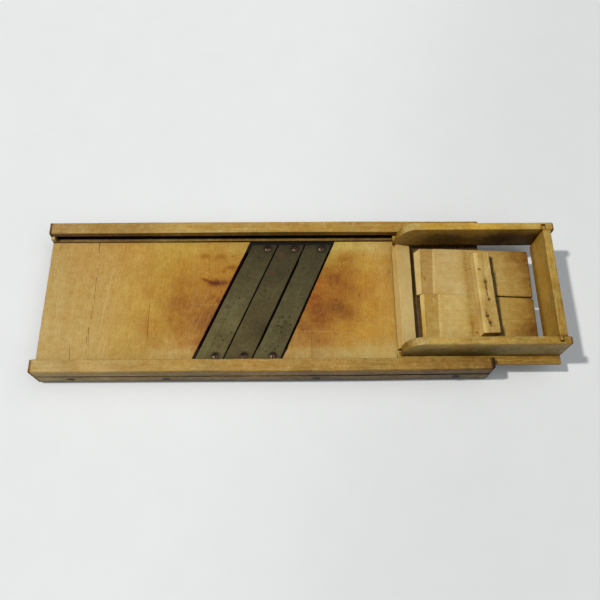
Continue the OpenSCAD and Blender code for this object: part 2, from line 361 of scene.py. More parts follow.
# -------------------------------------------------------------- materials --
class Tree:
    def __init__(self, mat):
        mat.use_nodes = True
        self.t = mat.node_tree
        self.t.nodes.clear()

    def new(self, kind, **kw):
        n = self.t.nodes.new(kind)
        for k, v in kw.items():
            setattr(n, k, v)
        return n

    def put(self, sock, val):
        if hasattr(val, "is_output"):
            self.t.links.new(val, sock)
        elif val is not None:
            sock.default_value = val

    def math(self, op, a, b=None, c=None, clamp=False):
        n = self.new("ShaderNodeMath", operation=op, use_clamp=clamp)
        for i, x in enumerate((a, b, c)):
            self.put(n.inputs[i], x) if x is not None else None
        return n.outputs[0]

    def vec(self, op, a, b=None):
        n = self.new("ShaderNodeVectorMath", operation=op)
        self.put(n.inputs[0], a)
        if b is not None:
            self.put(n.inputs[1], b)
        return n.outputs["Value"] if op in ("DOT_PRODUCT", "LENGTH", "DISTANCE") else n.outputs[0]

    def mapping(self, v, scale=(1, 1, 1), rot=(0, 0, 0), loc=(0, 0, 0)):
        n = self.new("ShaderNodeMapping")
        self.put(n.inputs["Vector"], v)
        n.inputs["Scale"].default_value = scale
        n.inputs["Rotation"].default_value = rot
        n.inputs["Location"].default_value = loc
        return n.outputs[0]

    def noise(self, v, scale=1.0, detail=3.0, rough=0.55, dist=0.0):
        n = self.new("ShaderNodeTexNoise")
        self.put(n.inputs["Vector"], v)
        n.inputs["Scale"].default_value = scale
        n.inputs["Detail"].default_value = detail
        n.inputs["Roughness"].default_value = rough
        n.inputs["Distortion"].default_value = dist
        return n.outputs[0]

    def step(self, x, a, b, lo=0.0, hi=1.0):
        n = self.new("ShaderNodeMapRange", interpolation_type="SMOOTHSTEP", clamp=True)
        self.put(n.inputs[0], x)
        n.inputs[1].default_value, n.inputs[2].default_value = a, b
        n.inputs[3].default_value, n.inputs[4].default_value = lo, hi
        return n.outputs[0]

    def mix(self, f, a, b, mode="MIX"):
        n = self.new("ShaderNodeMix", data_type="RGBA", blend_type=mode)
        self.put(n.inputs[0], f)
        self.put(n.inputs[6], a)
        self.put(n.inputs[7], b)
        return n.outputs[2]

    def attr(self, name, out="Fac"):
        n = self.new("ShaderNodeAttribute", attribute_name=name)
        return n.outputs[out]

    def turned(self, v, deg, across, along):
        """Coordinates for lines that lean deg to the right of Y."""
        a = self.mapping(v, rot=(0, 0, math.radians(deg)))
        return self.mapping(a, scale=(1 / across, 1 / along, 1 / along))

    def local(self, v, x, y, rx, ry, deg=0.0):
        """Coordinates of one mark in the XY plane, 1 at its rim. deg leans its
        long side ry to the right of Y."""
        n = self.new("ShaderNodeMapping", vector_type="TEXTURE")
        self.put(n.inputs["Vector"], v)
        n.inputs["Location"].default_value = (x + XM, y, 0)
        n.inputs["Rotation"].default_value = (0, 0, math.radians(-deg))
        n.inputs["Scale"].default_value = (rx, ry, 1e6)
        return n.outputs[0]

    def spot(self, v, x, y, rx, ry, deg=0.0, soft=0.3):
        return self.step(self.vec("LENGTH", self.local(v, x, y, rx, ry, deg)), 1.0, soft)

    def stroke(self, v, x0, y0, x1, y1, half):
        deg = math.degrees(math.atan2(x1 - x0, y1 - y0))
        q = self.new("ShaderNodeSeparateXYZ")
        self.put(q.inputs[0], self.local(v, (x0 + x1) / 2, (y0 + y1) / 2, half, math.hypot(x1 - x0, y1 - y0) / 2, deg))
        a = self.step(self.math("ABSOLUTE", q.outputs[0]), 1.5, 0.4)
        return self.math("MULTIPLY", a, self.step(self.math("ABSOLUTE", q.outputs[1]), 1.0, 0.75))

    def gamma(self, c, g):
        n = self.new("ShaderNodeGamma")
        self.put(n.inputs[0], c)
        self.put(n.inputs[1], g)
        return n.outputs[0]

    def finish(self, color, rough, height=None, dist=0.0003, strength=0.6, metal=0.0, spec=0.2):
        b = self.new("ShaderNodeBsdfPrincipled")
        self.put(b.inputs["Base Color"], color)
        self.put(b.inputs["Roughness"], rough)
        b.inputs["Metallic"].default_value = metal
        b.inputs["Specular IOR Level"].default_value = spec
        if height is not None:
            n = self.new("ShaderNodeBump")
            n.inputs["Strength"].default_value = strength
            n.inputs["Distance"].default_value = dist
            self.put(n.inputs["Height"], height)
            self.t.links.new(n.outputs[0], b.inputs["Normal"])
        o = self.new("ShaderNodeOutputMaterial")
        self.t.links.new(b.outputs[0], o.inputs[0])
        return b


def wood(name, axis="x", fibre=0.30, streak=0.30, mottle=0.28, pores=0.5, ring=0.22, speck=0.25, scratch=0.0, offset=(0, 0, 0), ends=0.35, bump=0.55, hue=0.5, spots=(), strokes=()):
    """Old bare wood. axis is the way the grain runs."""
    m = bpy.data.materials.new(name)
    t = Tree(m)
    co = t.new("ShaderNodeTexCoord").outputs["Object"]
    mm = t.mapping(co, scale=(1000, 1000, 1000), loc=offset)

    def along(l, c, c2=None):
        c2 = c if c2 is None else c2
        return {"x": (1 / l, 1 / c, 1 / c2), "y": (1 / c, 1 / l, 1 / c2), "z": (1 / c, 1 / c2, 1 / l)}[axis]

    warp = t.noise(t.mapping(mm, scale=along(60, 22)), 1.0, 2.0)
    # long fibres
    f1 = t.noise(t.mapping(mm, scale=along(26, 0.9)), 1.0, 4.0, 0.6, 0.25)
    # broad colour streaks along the grain
    s1 = t.noise(t.mapping(mm, scale=along(120, 6.5, 9)), 1.0, 3.0, 0.55, 0.6)
    s2 = t.noise(t.mapping(mm, scale=along(55, 2.6, 4)), 1.0, 3.0, 0.6, 0.5)
    # yearly rings: wavy bands across the grain
    sep = t.new("ShaderNodeSeparateXYZ")
    t.put(sep.inputs[0], mm)
    a, b = {"x": (1, 2), "y": (0, 2), "z": (0, 1)}[axis]
    wob = t.math("MULTIPLY_ADD", warp, 34.0, sep.outputs[a])
    rad = t.math("MULTIPLY_ADD", sep.outputs[b], 0.55, wob)
    band = t.math("SINE", t.math("MULTIPLY", rad, 1.15))
    band = t.math("MULTIPLY_ADD", band, 0.5, 0.5)
    band = t.math("POWER", band, 1.8)
    band = t.math("MULTIPLY", band, t.step(t.noise(t.mapping(mm, scale=along(160, 30)), 1.0, 2.0), 0.35, 0.65))
    # patina blotches and small specks
    m1 = t.noise(mm, 1 / 38.0, 4.0, 0.62)
    m2 = t.noise(mm, 1 / 7.5, 4.0, 0.65)
    m3 = t.noise(mm, 1 / 1.7, 3.0, 0.7)
    # pores
    p1 = t.noise(t.mapping(mm, scale=along(5.5, 0.42)), 1.0, 2.0, 0.5)
    pore = t.step(p1, 0.60, 0.72)
    g = t.math("MULTIPLY_ADD", t.math("SUBTRACT", f1, 0.5), fibre * 2.2, 1.0)
    g = t.math("MULTIPLY_ADD", t.math("SUBTRACT", s1, 0.5), streak * 2.0, g)
    g = t.math("MULTIPLY_ADD", t.math("SUBTRACT", s2, 0.5), streak * 1.6, g)
    g = t.math("MULTIPLY_ADD", t.math("SUBTRACT", m1, 0.5), mottle * 1.6, g)
    g = t.math("MULTIPLY_ADD", t.math("SUBTRACT", m2, 0.5), mottle * 1.5, g)
    g = t.math("MULTIPLY_ADD", t.math("SUBTRACT", m3, 0.5), speck * 1.6, g)
    g = t.math("MULTIPLY_ADD", band, ring, g)
    g = t.math("MULTIPLY_ADD", pore, pores * 0.35, g)
    # dirt and painted shade carried by the grime_and_shade attribute, dirt held by hollows, wear on outer edges
    grime_and_shade = t.attr("grime_and_shade")
    gn = t.math("MULTIPLY", grime_and_shade, t.step(m2, 0.25, 0.6, 0.55, 1.0))
    g = t.math("MULTIPLY_ADD", gn, 1.5, g)
    edge = t.attr("edge")
    worn = t.math("MULTIPLY", t.step(edge, 0.06, 0.5), t.step(m2, 0.42, 0.62, 0.15, 1.0))
    g = t.math("MULTIPLY_ADD", worn, -0.16, g)
    hollow = t.step(t.math("MULTIPLY", edge, -1.0), 0.05, 0.5)
    g = t.math("MULTIPLY_ADD", hollow, 0.5, g)
    # end grain
    geo = t.new("ShaderNodeNewGeometry")
    nrm = t.new("ShaderNodeVectorTransform", vector_type="NORMAL", convert_from="WORLD", convert_to="OBJECT")
    t.put(nrm.inputs[0], geo.outputs["True Normal"])
    ns = t.new("ShaderNodeSeparateXYZ")
    t.put(ns.inputs[0], nrm.outputs[0])
    end = t.step(t.math("ABSOLUTE", ns.outputs[{"x": 0, "y": 1, "z": 2}[axis]]), 0.72, 0.93)
    eg = t.noise(mm, 1 / 0.8, 3.0, 0.7)
    g = t.math("MULTIPLY_ADD", end, t.math("MULTIPLY_ADD", t.math("SUBTRACT", eg, 0.35), 0.9, ends), g)
    # single stains and scratches, at their places on the piece
    raw = t.mapping(co, scale=(1000, 1000, 1000))
    if spots or strokes:
        wn = t.new("ShaderNodeTexNoise")
        t.put(wn.inputs["Vector"], raw)
        wn.inputs["Scale"].default_value = 1 / 5.0
        wn.inputs["Detail"].default_value = 3.0
        wobbly = t.vec("ADD", raw, t.vec("MULTIPLY", t.vec("SUBTRACT", wn.outputs[1], (0.5, 0.5, 0.5)), (5.0, 3.4, 0.0)))
        steady = t.vec("ADD", raw, t.vec("MULTIPLY", t.vec("SUBTRACT", wn.outputs[1], (0.5, 0.5, 0.5)), (1.1, 1.1, 0.0)))
    for x, y, rx, ry, deg, amount in spots:
        small = max(rx, ry) < 3
        k = t.spot(steady if small else wobbly, x, y, rx, ry, deg, 0.4 if small else 0.1)
        g = t.math("MULTIPLY_ADD", k, amount, g)
    g = t.math("MAXIMUM", g, 0.45)
    tone = t.attr("tone", "Color")
    warm = t.step(t.noise(mm, 1 / 30.0, 3.0, 0.6), 0.38, 0.66)
    tone = t.mix(t.math("MULTIPLY", warm, hue), tone, (1.05, 0.93, 0.74, 1), "MULTIPLY")
    c = t.gamma(tone, g)
    for x0, y0, x1, y1, half, amount in strokes:
        k = t.stroke(steady, x0, y0, x1, y1, half)
        k = t.math("MULTIPLY", k, t.math("MULTIPLY", t.step(m2, 0.3, 0.62, 0.3, 1.0), abs(amount) * 0.75))
        c = t.mix(k, c, (0.60, 0.43, 0.18, 1) if amount > 0 else (0.040, 0.020, 0.007, 1))
    if scratch:
        scm = None
        for deg, across, along, lo in ((9, 0.75, 60.0, 0.665), (24, 0.7, 42.0, 0.66), (-14, 0.7, 30.0, 0.69), (84, 0.75, 36.0, 0.69)):
            one = t.step(t.noise(t.turned(mm, deg, across, along), 1.0, 0.0, 0.5), lo, lo + 0.06)
            scm = one if scm is None else t.math("MAXIMUM", scm, one)
        scm = t.math("MULTIPLY", scm, t.math("MULTIPLY", t.step(m1, 0.42, 0.6), scratch))
        c = t.mix(scm, c, (0.56, 0.37, 0.13, 1))
    h = t.math("MULTIPLY_ADD", f1, 0.9, t.math("MULTIPLY", m2, 0.45))
    h = t.math("MULTIPLY_ADD", pore, -0.6, h)
    h = t.math("MULTIPLY_ADD", m3, 0.25, h)
    r = t.math("MULTIPLY_ADD", m2, 0.22, 0.42)
    r = t.math("MULTIPLY_ADD", gn, 0.15, r)
    r = t.math("MULTIPLY_ADD", worn, -0.08, r, clamp=True)
    t.finish(c, r, h, 0.00035, bump)
    return m


def steel(name, offset=(0, 0, 0), pits=()):
    """Old carbon steel with a grey-green patina, brown blooms and dark pits."""
    m = bpy.data.materials.new(name)
    t = Tree(m)
    co = t.new("ShaderNodeTexCoord").outputs["Object"]
    mm = t.mapping(co, scale=(1000, 1000, 1000), loc=offset)
    cloud = t.noise(mm, 1 / 26.0, 5.0, 0.62)
    fine = t.noise(mm, 1 / 3.2, 4.0, 0.7)
    grit = t.noise(mm, 1 / 0.8, 3.0, 0.7)
    # grinding lines along the blade
    gl = t.noise(t.turned(mm, 23, 0.6, 45.0), 1.0, 3.0, 0.6)
    g = t.math("MULTIPLY_ADD", t.math("SUBTRACT", cloud, 0.5), 0.40, 1.0)
    g = t.math("MULTIPLY_ADD", t.math("SUBTRACT", fine, 0.5), 0.42, g)
    g = t.math("MULTIPLY_ADD", t.math("SUBTRACT", grit, 0.5), 0.22, g)
    g = t.math("MULTIPLY_ADD", t.math("SUBTRACT", gl, 0.5), 0.28, g)
    grime_and_shade = t.attr("grime_and_shade")
    g = t.math("MULTIPLY_ADD", grime_and_shade, 0.7, g)
    edge = t.attr("edge")
    g = t.math("MULTIPLY_ADD", t.step(edge, 0.05, 0.5), -0.12, g)
    c = t.gamma(t.attr("tone", "Color"), g)
    # rust blooms
    bl = t.step(t.noise(mm, 1 / 9.0, 5.0, 0.7), 0.57, 0.75)
    c = t.mix(t.math("MULTIPLY", bl, 0.45), c, (0.060, 0.038, 0.016, 1))
    # pits, thicker where grime is painted
    pn = t.noise(mm, 1 / 2.3, 2.0, 0.5)
    th = t.math("MULTIPLY_ADD", grime_and_shade, -0.07, 0.70)
    pit = t.math("MULTIPLY", t.step(t.math("SUBTRACT", pn, th), 0.0, 0.04), 0.6)
    raw = t.mapping(co, scale=(1000, 1000, 1000))
    wn = t.new("ShaderNodeTexNoise")
    t.put(wn.inputs["Vector"], raw)
    wn.inputs["Scale"].default_value = 1 / 1.5
    ragged = t.vec("ADD", raw, t.vec("MULTIPLY", t.vec("SUBTRACT", wn.outputs[1], (0.5, 0.5, 0.5)), (1.6, 1.6, 0.0)))
    for x, y, r in pits:
        k = t.spot(ragged, x, y, 1.25 * abs(r), 1.25 * abs(r), 0.0, 0.3)
        if r < 0:       # a brown bloom, no pit
            c = t.mix(t.math("MULTIPLY", k, 0.6), c, (0.075, 0.040, 0.016, 1))
        else:
            pit = t.math("MAXIMUM", pit, k)
    c = t.mix(t.math("MULTIPLY", pit, 0.85), c, (0.024, 0.014, 0.007, 1))
    h = t.math("MULTIPLY_ADD", gl, 0.5, t.math("MULTIPLY", fine, 0.5))
    h = t.math("MULTIPLY_ADD", pit, -1.2, h)
    r = t.math("MULTIPLY_ADD", fine, 0.28, 0.36)
    r = t.math("MULTIPLY_ADD", pit, 0.3, r, clamp=True)
    t.finish(c, r, h, 0.00025, 0.5, metal=0.2, spec=0.25)
    return m


def iron(name, base=(0.030, 0.019, 0.011), light=(0.16, 0.12, 0.085), rust=(0.075, 0.030, 0.012), metal=0.65, worn=0.5, rough=0.32):
    """Old iron of screws and nails: dark, rusty in the hollows, rubbed on top."""
    m = bpy.data.materials.new(name)
    t = Tree(m)
    co = t.new("ShaderNodeTexCoord").outputs["Object"]
    mm = t.mapping(co, scale=(1000, 1000, 1000))
    n1 = t.noise(mm, 1 / 1.6, 4.0, 0.65)
    n2 = t.noise(mm, 1 / 0.5, 3.0, 0.7)
    edge = t.attr("edge")
    w = t.math("MULTIPLY", t.step(t.math("MULTIPLY_ADD", edge, 0.35, n1), 0.5, 0.72), worn)
    c = t.mix(t.step(n2, 0.4, 0.68), base + (1,), rust + (1,))
    c = t.mix(w, c, light + (1,))
    r = t.math("MULTIPLY_ADD", n2, 0.35, rough)
    t.finish(c, r, t.math("MULTIPLY_ADD", n2, 0.6, n1), 0.0002, 0.6, metal=metal, spec=0.5)
    return m


# ------------------------------------------------------------------ rails --
def rail_tone(front):
    if front:
        a = [((-300, -100, 50), (184, 156, 104)), ((-230, -100, 50), (184, 153, 98)), ((-120, -100, 50), (180, 146, 84)),
             ((0, -100, 50), (170, 134, 72)), ((90, -100, 50), (166, 128, 66)), ((180, -100, 50), (150, 114, 52)),
             ((240, -100, 50), (140, 106, 48)), ((300, -100, 50), (126, 94, 42)),
             ((-250, -111, 20), (150, 128, 84)), ((-100, -111, 20), (140, 116, 72)), ((80, -111, 20), (128, 106, 62)), ((250, -111, 20), (122, 100, 58))]
    else:
        a = [((-300, 100, 50), (160, 128, 78)), ((-230, 100, 50), (166, 134, 80)), ((-120, 100, 50), (178, 146, 86)),
             ((0, 100, 50), (178, 144, 82)), ((90, 100, 50), (172, 138, 72)), ((180, 100, 50), (168, 132, 66)), ((300, 100, 50), (150, 116, 56)),
             ((-200, 111, 20), (150, 122, 76)), ((150, 111, 20), (140, 112, 66))]

    def f(p, n):
        c = tone_field(p, a, (1, 0.6, 0.6))
        # the inner faces are darker; the groove is painted near black and the lip darker as painted shade
        inner = (np.abs(p[:, 1]) < HW - 2.0) & (p[:, 2] < RAIL_H - 1.2)
        c = np.where(inner[:, None], c * np.array([0.50, 0.46, 0.40]), c)
        deep = (np.abs(p[:, 1]) > YL + 4.2) & inner & (p[:, 2] > GZ - 1) & (p[:, 2] < GZ + GH + 1)
        c = np.where(deep[:, None], c * 0.10, c)
        foot = smooth(10.5, 5.5, p[:, 2])[:, None] * (np.abs(p[:, 1]) > HW - 9)[:, None]
        c = c * (1 - foot * 0.80)
        # the outer face is painted darker as shade, through the darker outer-face anchors above and this factor
        outer_face_shade = smooth(0.45, 0.8, n[:, 1] * np.sign(p[:, 1])) * (np.abs(p[:, 1]) > HW - 4)
        c = c * (1 - outer_face_shade * (0.14 + 0.24 * smooth(-260, -120, p[:, 0]) - 0.06 * smooth(150, 260, p[:, 0])))[:, None]
        lip_shade = smooth(-240, -60, p[:, 0]) * (np.abs(p[:, 1]) < YL + 0.8) * (p[:, 2] < GZ + 0.2) * (p[:, 2] > BED_Z - 1)
        c = c * (1 - 0.84 * lip_shade)[:, None]
        # the rounded right end of the front rail is painted darker as shade
        right_end_shade = (smooth(H - 7.0, H - 4.0, p[:, 0]) * (p[:, 1] < 0))[:, None]
        return c * (1 - right_end_shade * np.array([0.38, 0.28, 0.20]))
    return f


def rail_grime_and_shade(p, n):
    y, z = np.abs(p[:, 1]), p[:, 2]
    g = smooth(11, 3, z) * 0.75 * (y > HW - 10)                     # darker towards the foot
    # the groove floor, the bead line and the inside of the groove are painted dark as shade
    g = np.maximum(g, (y > YL + 4.2) * (y < YI + 1) * (np.abs(z - GZ) < 1.2) * 0.95)
    g = np.maximum(g, ((y > HW - 2.6) & (y < HW - 0.4) & (z > 26.6) & (z < 31.4)) * 0.75)
    g = np.maximum(g, ((y > YI + 0.6) & (y < YI + GD + 0.5) & (z > GZ - 0.5) & (z < GZ + GH + 0.5)) * 0.85)
    # dark sawn ends; the rounded right end is also painted darker as shade, the left end as dirt
    g = np.maximum(g, smooth(H - 1.8, H - 0.2, np.abs(p[:, 0])) * 0.75)
    g = np.maximum(g, smooth(H - 6.5, H - 3.5, p[:, 0]) * (0.55 * (p[:, 1] < 0) + 0.4 * (p[:, 1] > 0)) * (z > 20))
    g = np.maximum(g, smooth(H - 3.2, H - 1.4, -p[:, 0]) * 0.9)
    return g


def rail(front):
    ra, rb = 1.3, 4.4
    xs = stations(-H, H, 3.2, ra, rb, k=5)
    rings = []
    wear = line_noise(xs, 26, 5 if front else 9)
    nick = np.maximum(0, line_noise(xs, 9, 31 if front else 37) - 0.42) * 6
    base = [(YL, 0, 0.7), (HW, 0, 8), (HW, 27, 0.5), (HW - 2.4, 27.7, 0.35), (HW - 2.4, 30.3, 0.35), (HW, 31, 0.5),
            (HW, RAIL_H, 0), (YI, RAIL_H, 0), (YI, GZ + GH, 0.5), (YI + GD, GZ + GH, 0), (YI + GD, GZ, 0), (YL, GZ, 0.9)]
    cnt = [5, 5, 1, 1, 1, 5, 7, 3, 2, 3, 5, 8]
    drop = end_drop(xs, -H, H, ra, rb)
    for i, x in enumerate(xs):
        c = [list(q) for q in base]
        if front:
            c[6][2] = 3.4 + 0.5 * wear[i] + min(nick[i], 1.6)
        else:      # the rear rail has warped outwards in the middle, and is crisper
            c[6][2] = 1.1 + 1.6 * smooth(150, 290, abs(x)) + 0.3 * wear[i] + 0.5 * min(nick[i], 1.6)
            c[7][0] += 0.5 + 1.2 * math.exp(-((x - 30) / 120.0) ** 2)
        c[7][2] = 1.3 + 0.5 * wear[i - 3] + 0.5 * nick[i - 9]
        o = outline(c, seg=5, edges=cnt)
        # the outer face leans in a little towards the right end of the front rail
        if front:
            o[:, 0] -= smooth(60, H, x) * 1.5 * smooth(YI, HW, o[:, 0])
        d = drop[i]
        hi_y = HW - (smooth(60, H, x) * 1.5 if front else 0)
        o[:, 0] = np.minimum(o[:, 0], hi_y - d)
        o[:, 1] = np.minimum(o[:, 1], RAIL_H - d)
        o[:, 0] = np.maximum(o[:, 0], YL + min(d, 1.2))
        o[:, 1] = np.maximum(o[:, 1], min(d, 1.5))
        if x > H - 7:                                         # corner rounded off in plan
            o[:, 0] = np.minimum(o[:, 0], hi_y - 6.5 * (1 - math.sqrt(max(0, 1 - ((x - H + 6.5) / 6.5) ** 2))) if x > H - 6.5 else 1e9)
        r = np.zeros((len(o), 3))
        r[:, 0], r[:, 1], r[:, 2] = x, o[:, 0] * (-1 if front else 1), o[:, 1]
        rings.append(r)
    v, f = loft(rings)
    xsn = [-258, -130, 71, 258] if front else [-258, -130, 130, 258]
    sgn = -1 if front else 1
    holes = []
    for k, sx in enumerate(xsn):
        a = np.linspace(0, 2 * math.pi, 28, endpoint=False)
        hr = []
        for y, rr in ((HW + 1, 5.9), (HW - 0.3, 5.55), (HW - 0.75, 5.3), (HW - 3.4, 3.4)):
            hr.append(np.stack([sx + rr * np.cos(a) * (1 + 0.03 * np.sin(3 * a + k)), np.full_like(a, sgn * y), 17.5 + rr * np.sin(a)], 1))
        holes.append(loft(hr))
    v, f = cut(v, f, holes)
    return v, f


RAIL_WOOD = wood("rail_wood_old", "x", fibre=0.20, streak=0.20, mottle=0.36, pores=0.45, ring=0.10, speck=0.50, ends=0.5)
for front in (False, True):
    v, f = rail(front)
    nm = "front_rail" if front else "rear_rail"
    make("worn_" + nm, v, f, RAIL_WOOD, "board", nm, "rail_wood", rail_tone(front), rail_grime_and_shade, amp=0.22, grain=(45, 6, 6), seed=3 + front)


# ------------------------------------------------------------ groove stops --
def stop(front):
    lo, hi = node_box("front_groove_stop" if front else "rear_groove_stop")
    xa, xb = lo[0] - XM, hi[0] - XM
    xs = stations(xa, xb, 1.2, 0.6, 0.6, k=3)
    rings = []
    for x in xs:
        d = end_drop(np.array([x]), xa, xb, 0.6, 0.6)[0]
        c = [(YL + 0.3 + d, GZ, 0.3), (YI + GD - 0.1, GZ, 0.2), (YI + GD - 0.1, GZ + GH - 0.1, 0.2), (YI, GZ + GH - 0.1, 0.3), (YL + 0.3 + d, GZ + GH - 1.0 - d, 0.5)]
        o = outline(c, seg=3, edges=[4, 4, 4, 2, 5])
        rings.append(np.stack([np.full(len(o), x), o[:, 0] * (-1 if front else 1), o[:, 1]], 1))
    return loft(rings)


STOP_WOOD = wood("stop_wood", "x", mottle=0.3, ends=0.2, offset=(11, 3, 5))
for front in (False, True):
    nm = "front_groove_stop" if front else "rear_groove_stop"
    v, f = stop(front)
    make("worn_" + nm, v, f, STOP_WOOD, "board", nm, "pale_wood", lambda p, n: np.tile(lin((182, 162, 114)), (len(p), 1)),
         lambda p, n: smooth(-H + 5.2, -H + 5.9, p[:, 0]) * 0.3, amp=0.1, grain=(3, 3, 3), seed=21 + front)


# -------------------------------------------------------------------- bed --
def seam_x(y):
    return -158.4 - 0.01 * y


def bumps(*runs):
    """0..1 along y: (from, to, strength) for every open stretch of a crack."""
    def f(y):
        return max(k * float(smooth(a - 2.2, a, y)) * float(smooth(b + 2.2, b, y)) for a, b, k in runs)
    return f


def crack_1(y):
    return -237.9 + 2.1 * float(smooth(76, 71, y)) - 0.6 * float(smooth(66, 40, y)) + 0.6 * float(smooth(30, 2, y)) - 0.9 * float(smooth(-4, -28, y))


CRACKS_LEFT = [  # x at y, open stretches, widest gap, depth
    (crack_1, bumps((72.5, 90, 1.0), (40.5, 45, 0.6), (22, 33, 0.7), (14, 18, 1.0), (-1, 7, 0.6), (-28, -11, 0.35)), 0.62, 3.0),
    (lambda y: -239.7 - 0.1003 * (y + 55.7), bumps((-92, -56, 1.0)), 0.6, 3.5),
    (lambda y: -261.1 - 0.1275 * (y + 70.6), bumps((-92, -71, 1.0)), 0.45, 3.0),
]


def bed_board(y0, y1, xl, xr, gap_l, gap_r, cracks=(), seed=1, rl=0.9, rr=0.9, step_y=2.6, cols=14, free_left=False):
    """A bed board with its grain along Y. xl and xr give its edges at y."""
    ys = stations(y0, y1, step_y, 0.6, 0.6, k=3)
    rings = []
    nl, nr = line_noise(ys, 12, seed + 1), line_noise(ys, 12, seed + 2)
    kl = np.maximum(0, line_noise(ys, 6, seed + 3) - 0.35) * 3.5
    kr = np.maximum(0, line_noise(ys, 6, seed + 4) - 0.35) * 3.5
    cw = [line_noise(ys, 7, seed + 10 + i) for i in range(len(cracks))]
    cp = [line_noise(ys, 16, seed + 20 + i) for i in range(len(cracks))]
    dd = end_drop(ys, y0, y1, 0.6, 0.6)
    for i, y in enumerate(ys):
        a, b = xl(y) + (gap_l(y) if gap_l else 0), xr(y) - (gap_r(y) if gap_r else 0)
        w = b - a
        r1 = min(rl * (1 + 0.5 * nl[i] + min(kl[i], 1.4)), 0.3 * w)
        r2 = min(rr * (1 + 0.5 * nr[i] + min(kr[i], 1.4)), 0.3 * w)
        o = outline([(a, BED_B, 0.5), (b, BED_B, 0.5), (b, BED_Z, r2), (a, BED_Z, r1)], seg=4, edges=[cols, 5, 0, 5])
        # the top run goes from corner 2's last arc point to corner 3's first
        top_r, top_l = b - r2, a + r1
        n_arc = 5
        idx = n_arc + cols + n_arc + 5 + n_arc
        head, tail = o[:idx], o[idx:]
        g = 0.5
        marks = []
        for (cx, open_at, wide, deep), wn, pn in zip(cracks, cw, cp):
            c = cx(y) + 0.25 * pn[i]
            inside = open_at(y)
            ww = max(0.05, wide * (0.8 + 0.35 * wn[i]) * inside)
            marks.append((c, ww, deep * min(1.0, inside * 1.6)))
        # runs of plain columns between the cracks, and eight columns for each crack
        top, at = [], top_r - g
        per = max(4, int(cols * 2 / (len(marks) + 1)))
        for c, ww, dp in marks:
            top += [(x, BED_Z) for x in np.linspace(at, c + 2.2, per)[:-1]]
            q = min(dp, 1.0)
            top += [(c + 2.2, BED_Z), (c + 0.9, BED_Z - 0.03 * q), (c + ww * 0.5, BED_Z - 0.12 * q), (c + ww * 0.3, BED_Z - dp),
                    (c - ww * 0.3, BED_Z - dp), (c - ww * 0.5, BED_Z - 0.12 * q), (c - 0.9, BED_Z - 0.03 * q)]
            at = c - 2.2
        top += [(x, BED_Z) for x in np.linspace(at, top_l + g, per)]
        o = np.concatenate([head, np.array(top), tail])
        o[:, 1] = np.minimum(o[:, 1], BED_Z - dd[i] * (o[:, 1] > BED_Z - 3.9))
        rings.append((y, o))
    m = min(len(o) for _, o in rings)
    if any(len(o) != m for _, o in rings):
        raise ValueError("ring sizes differ")
    return loft([np.stack([o[:, 0], np.full(len(o), y), o[:, 1]], 1) for y, o in rings])


def bed_rows(y):
    """pale worn wood towards the rails"""
    return smooth(58, 82, np.abs(y + 1))


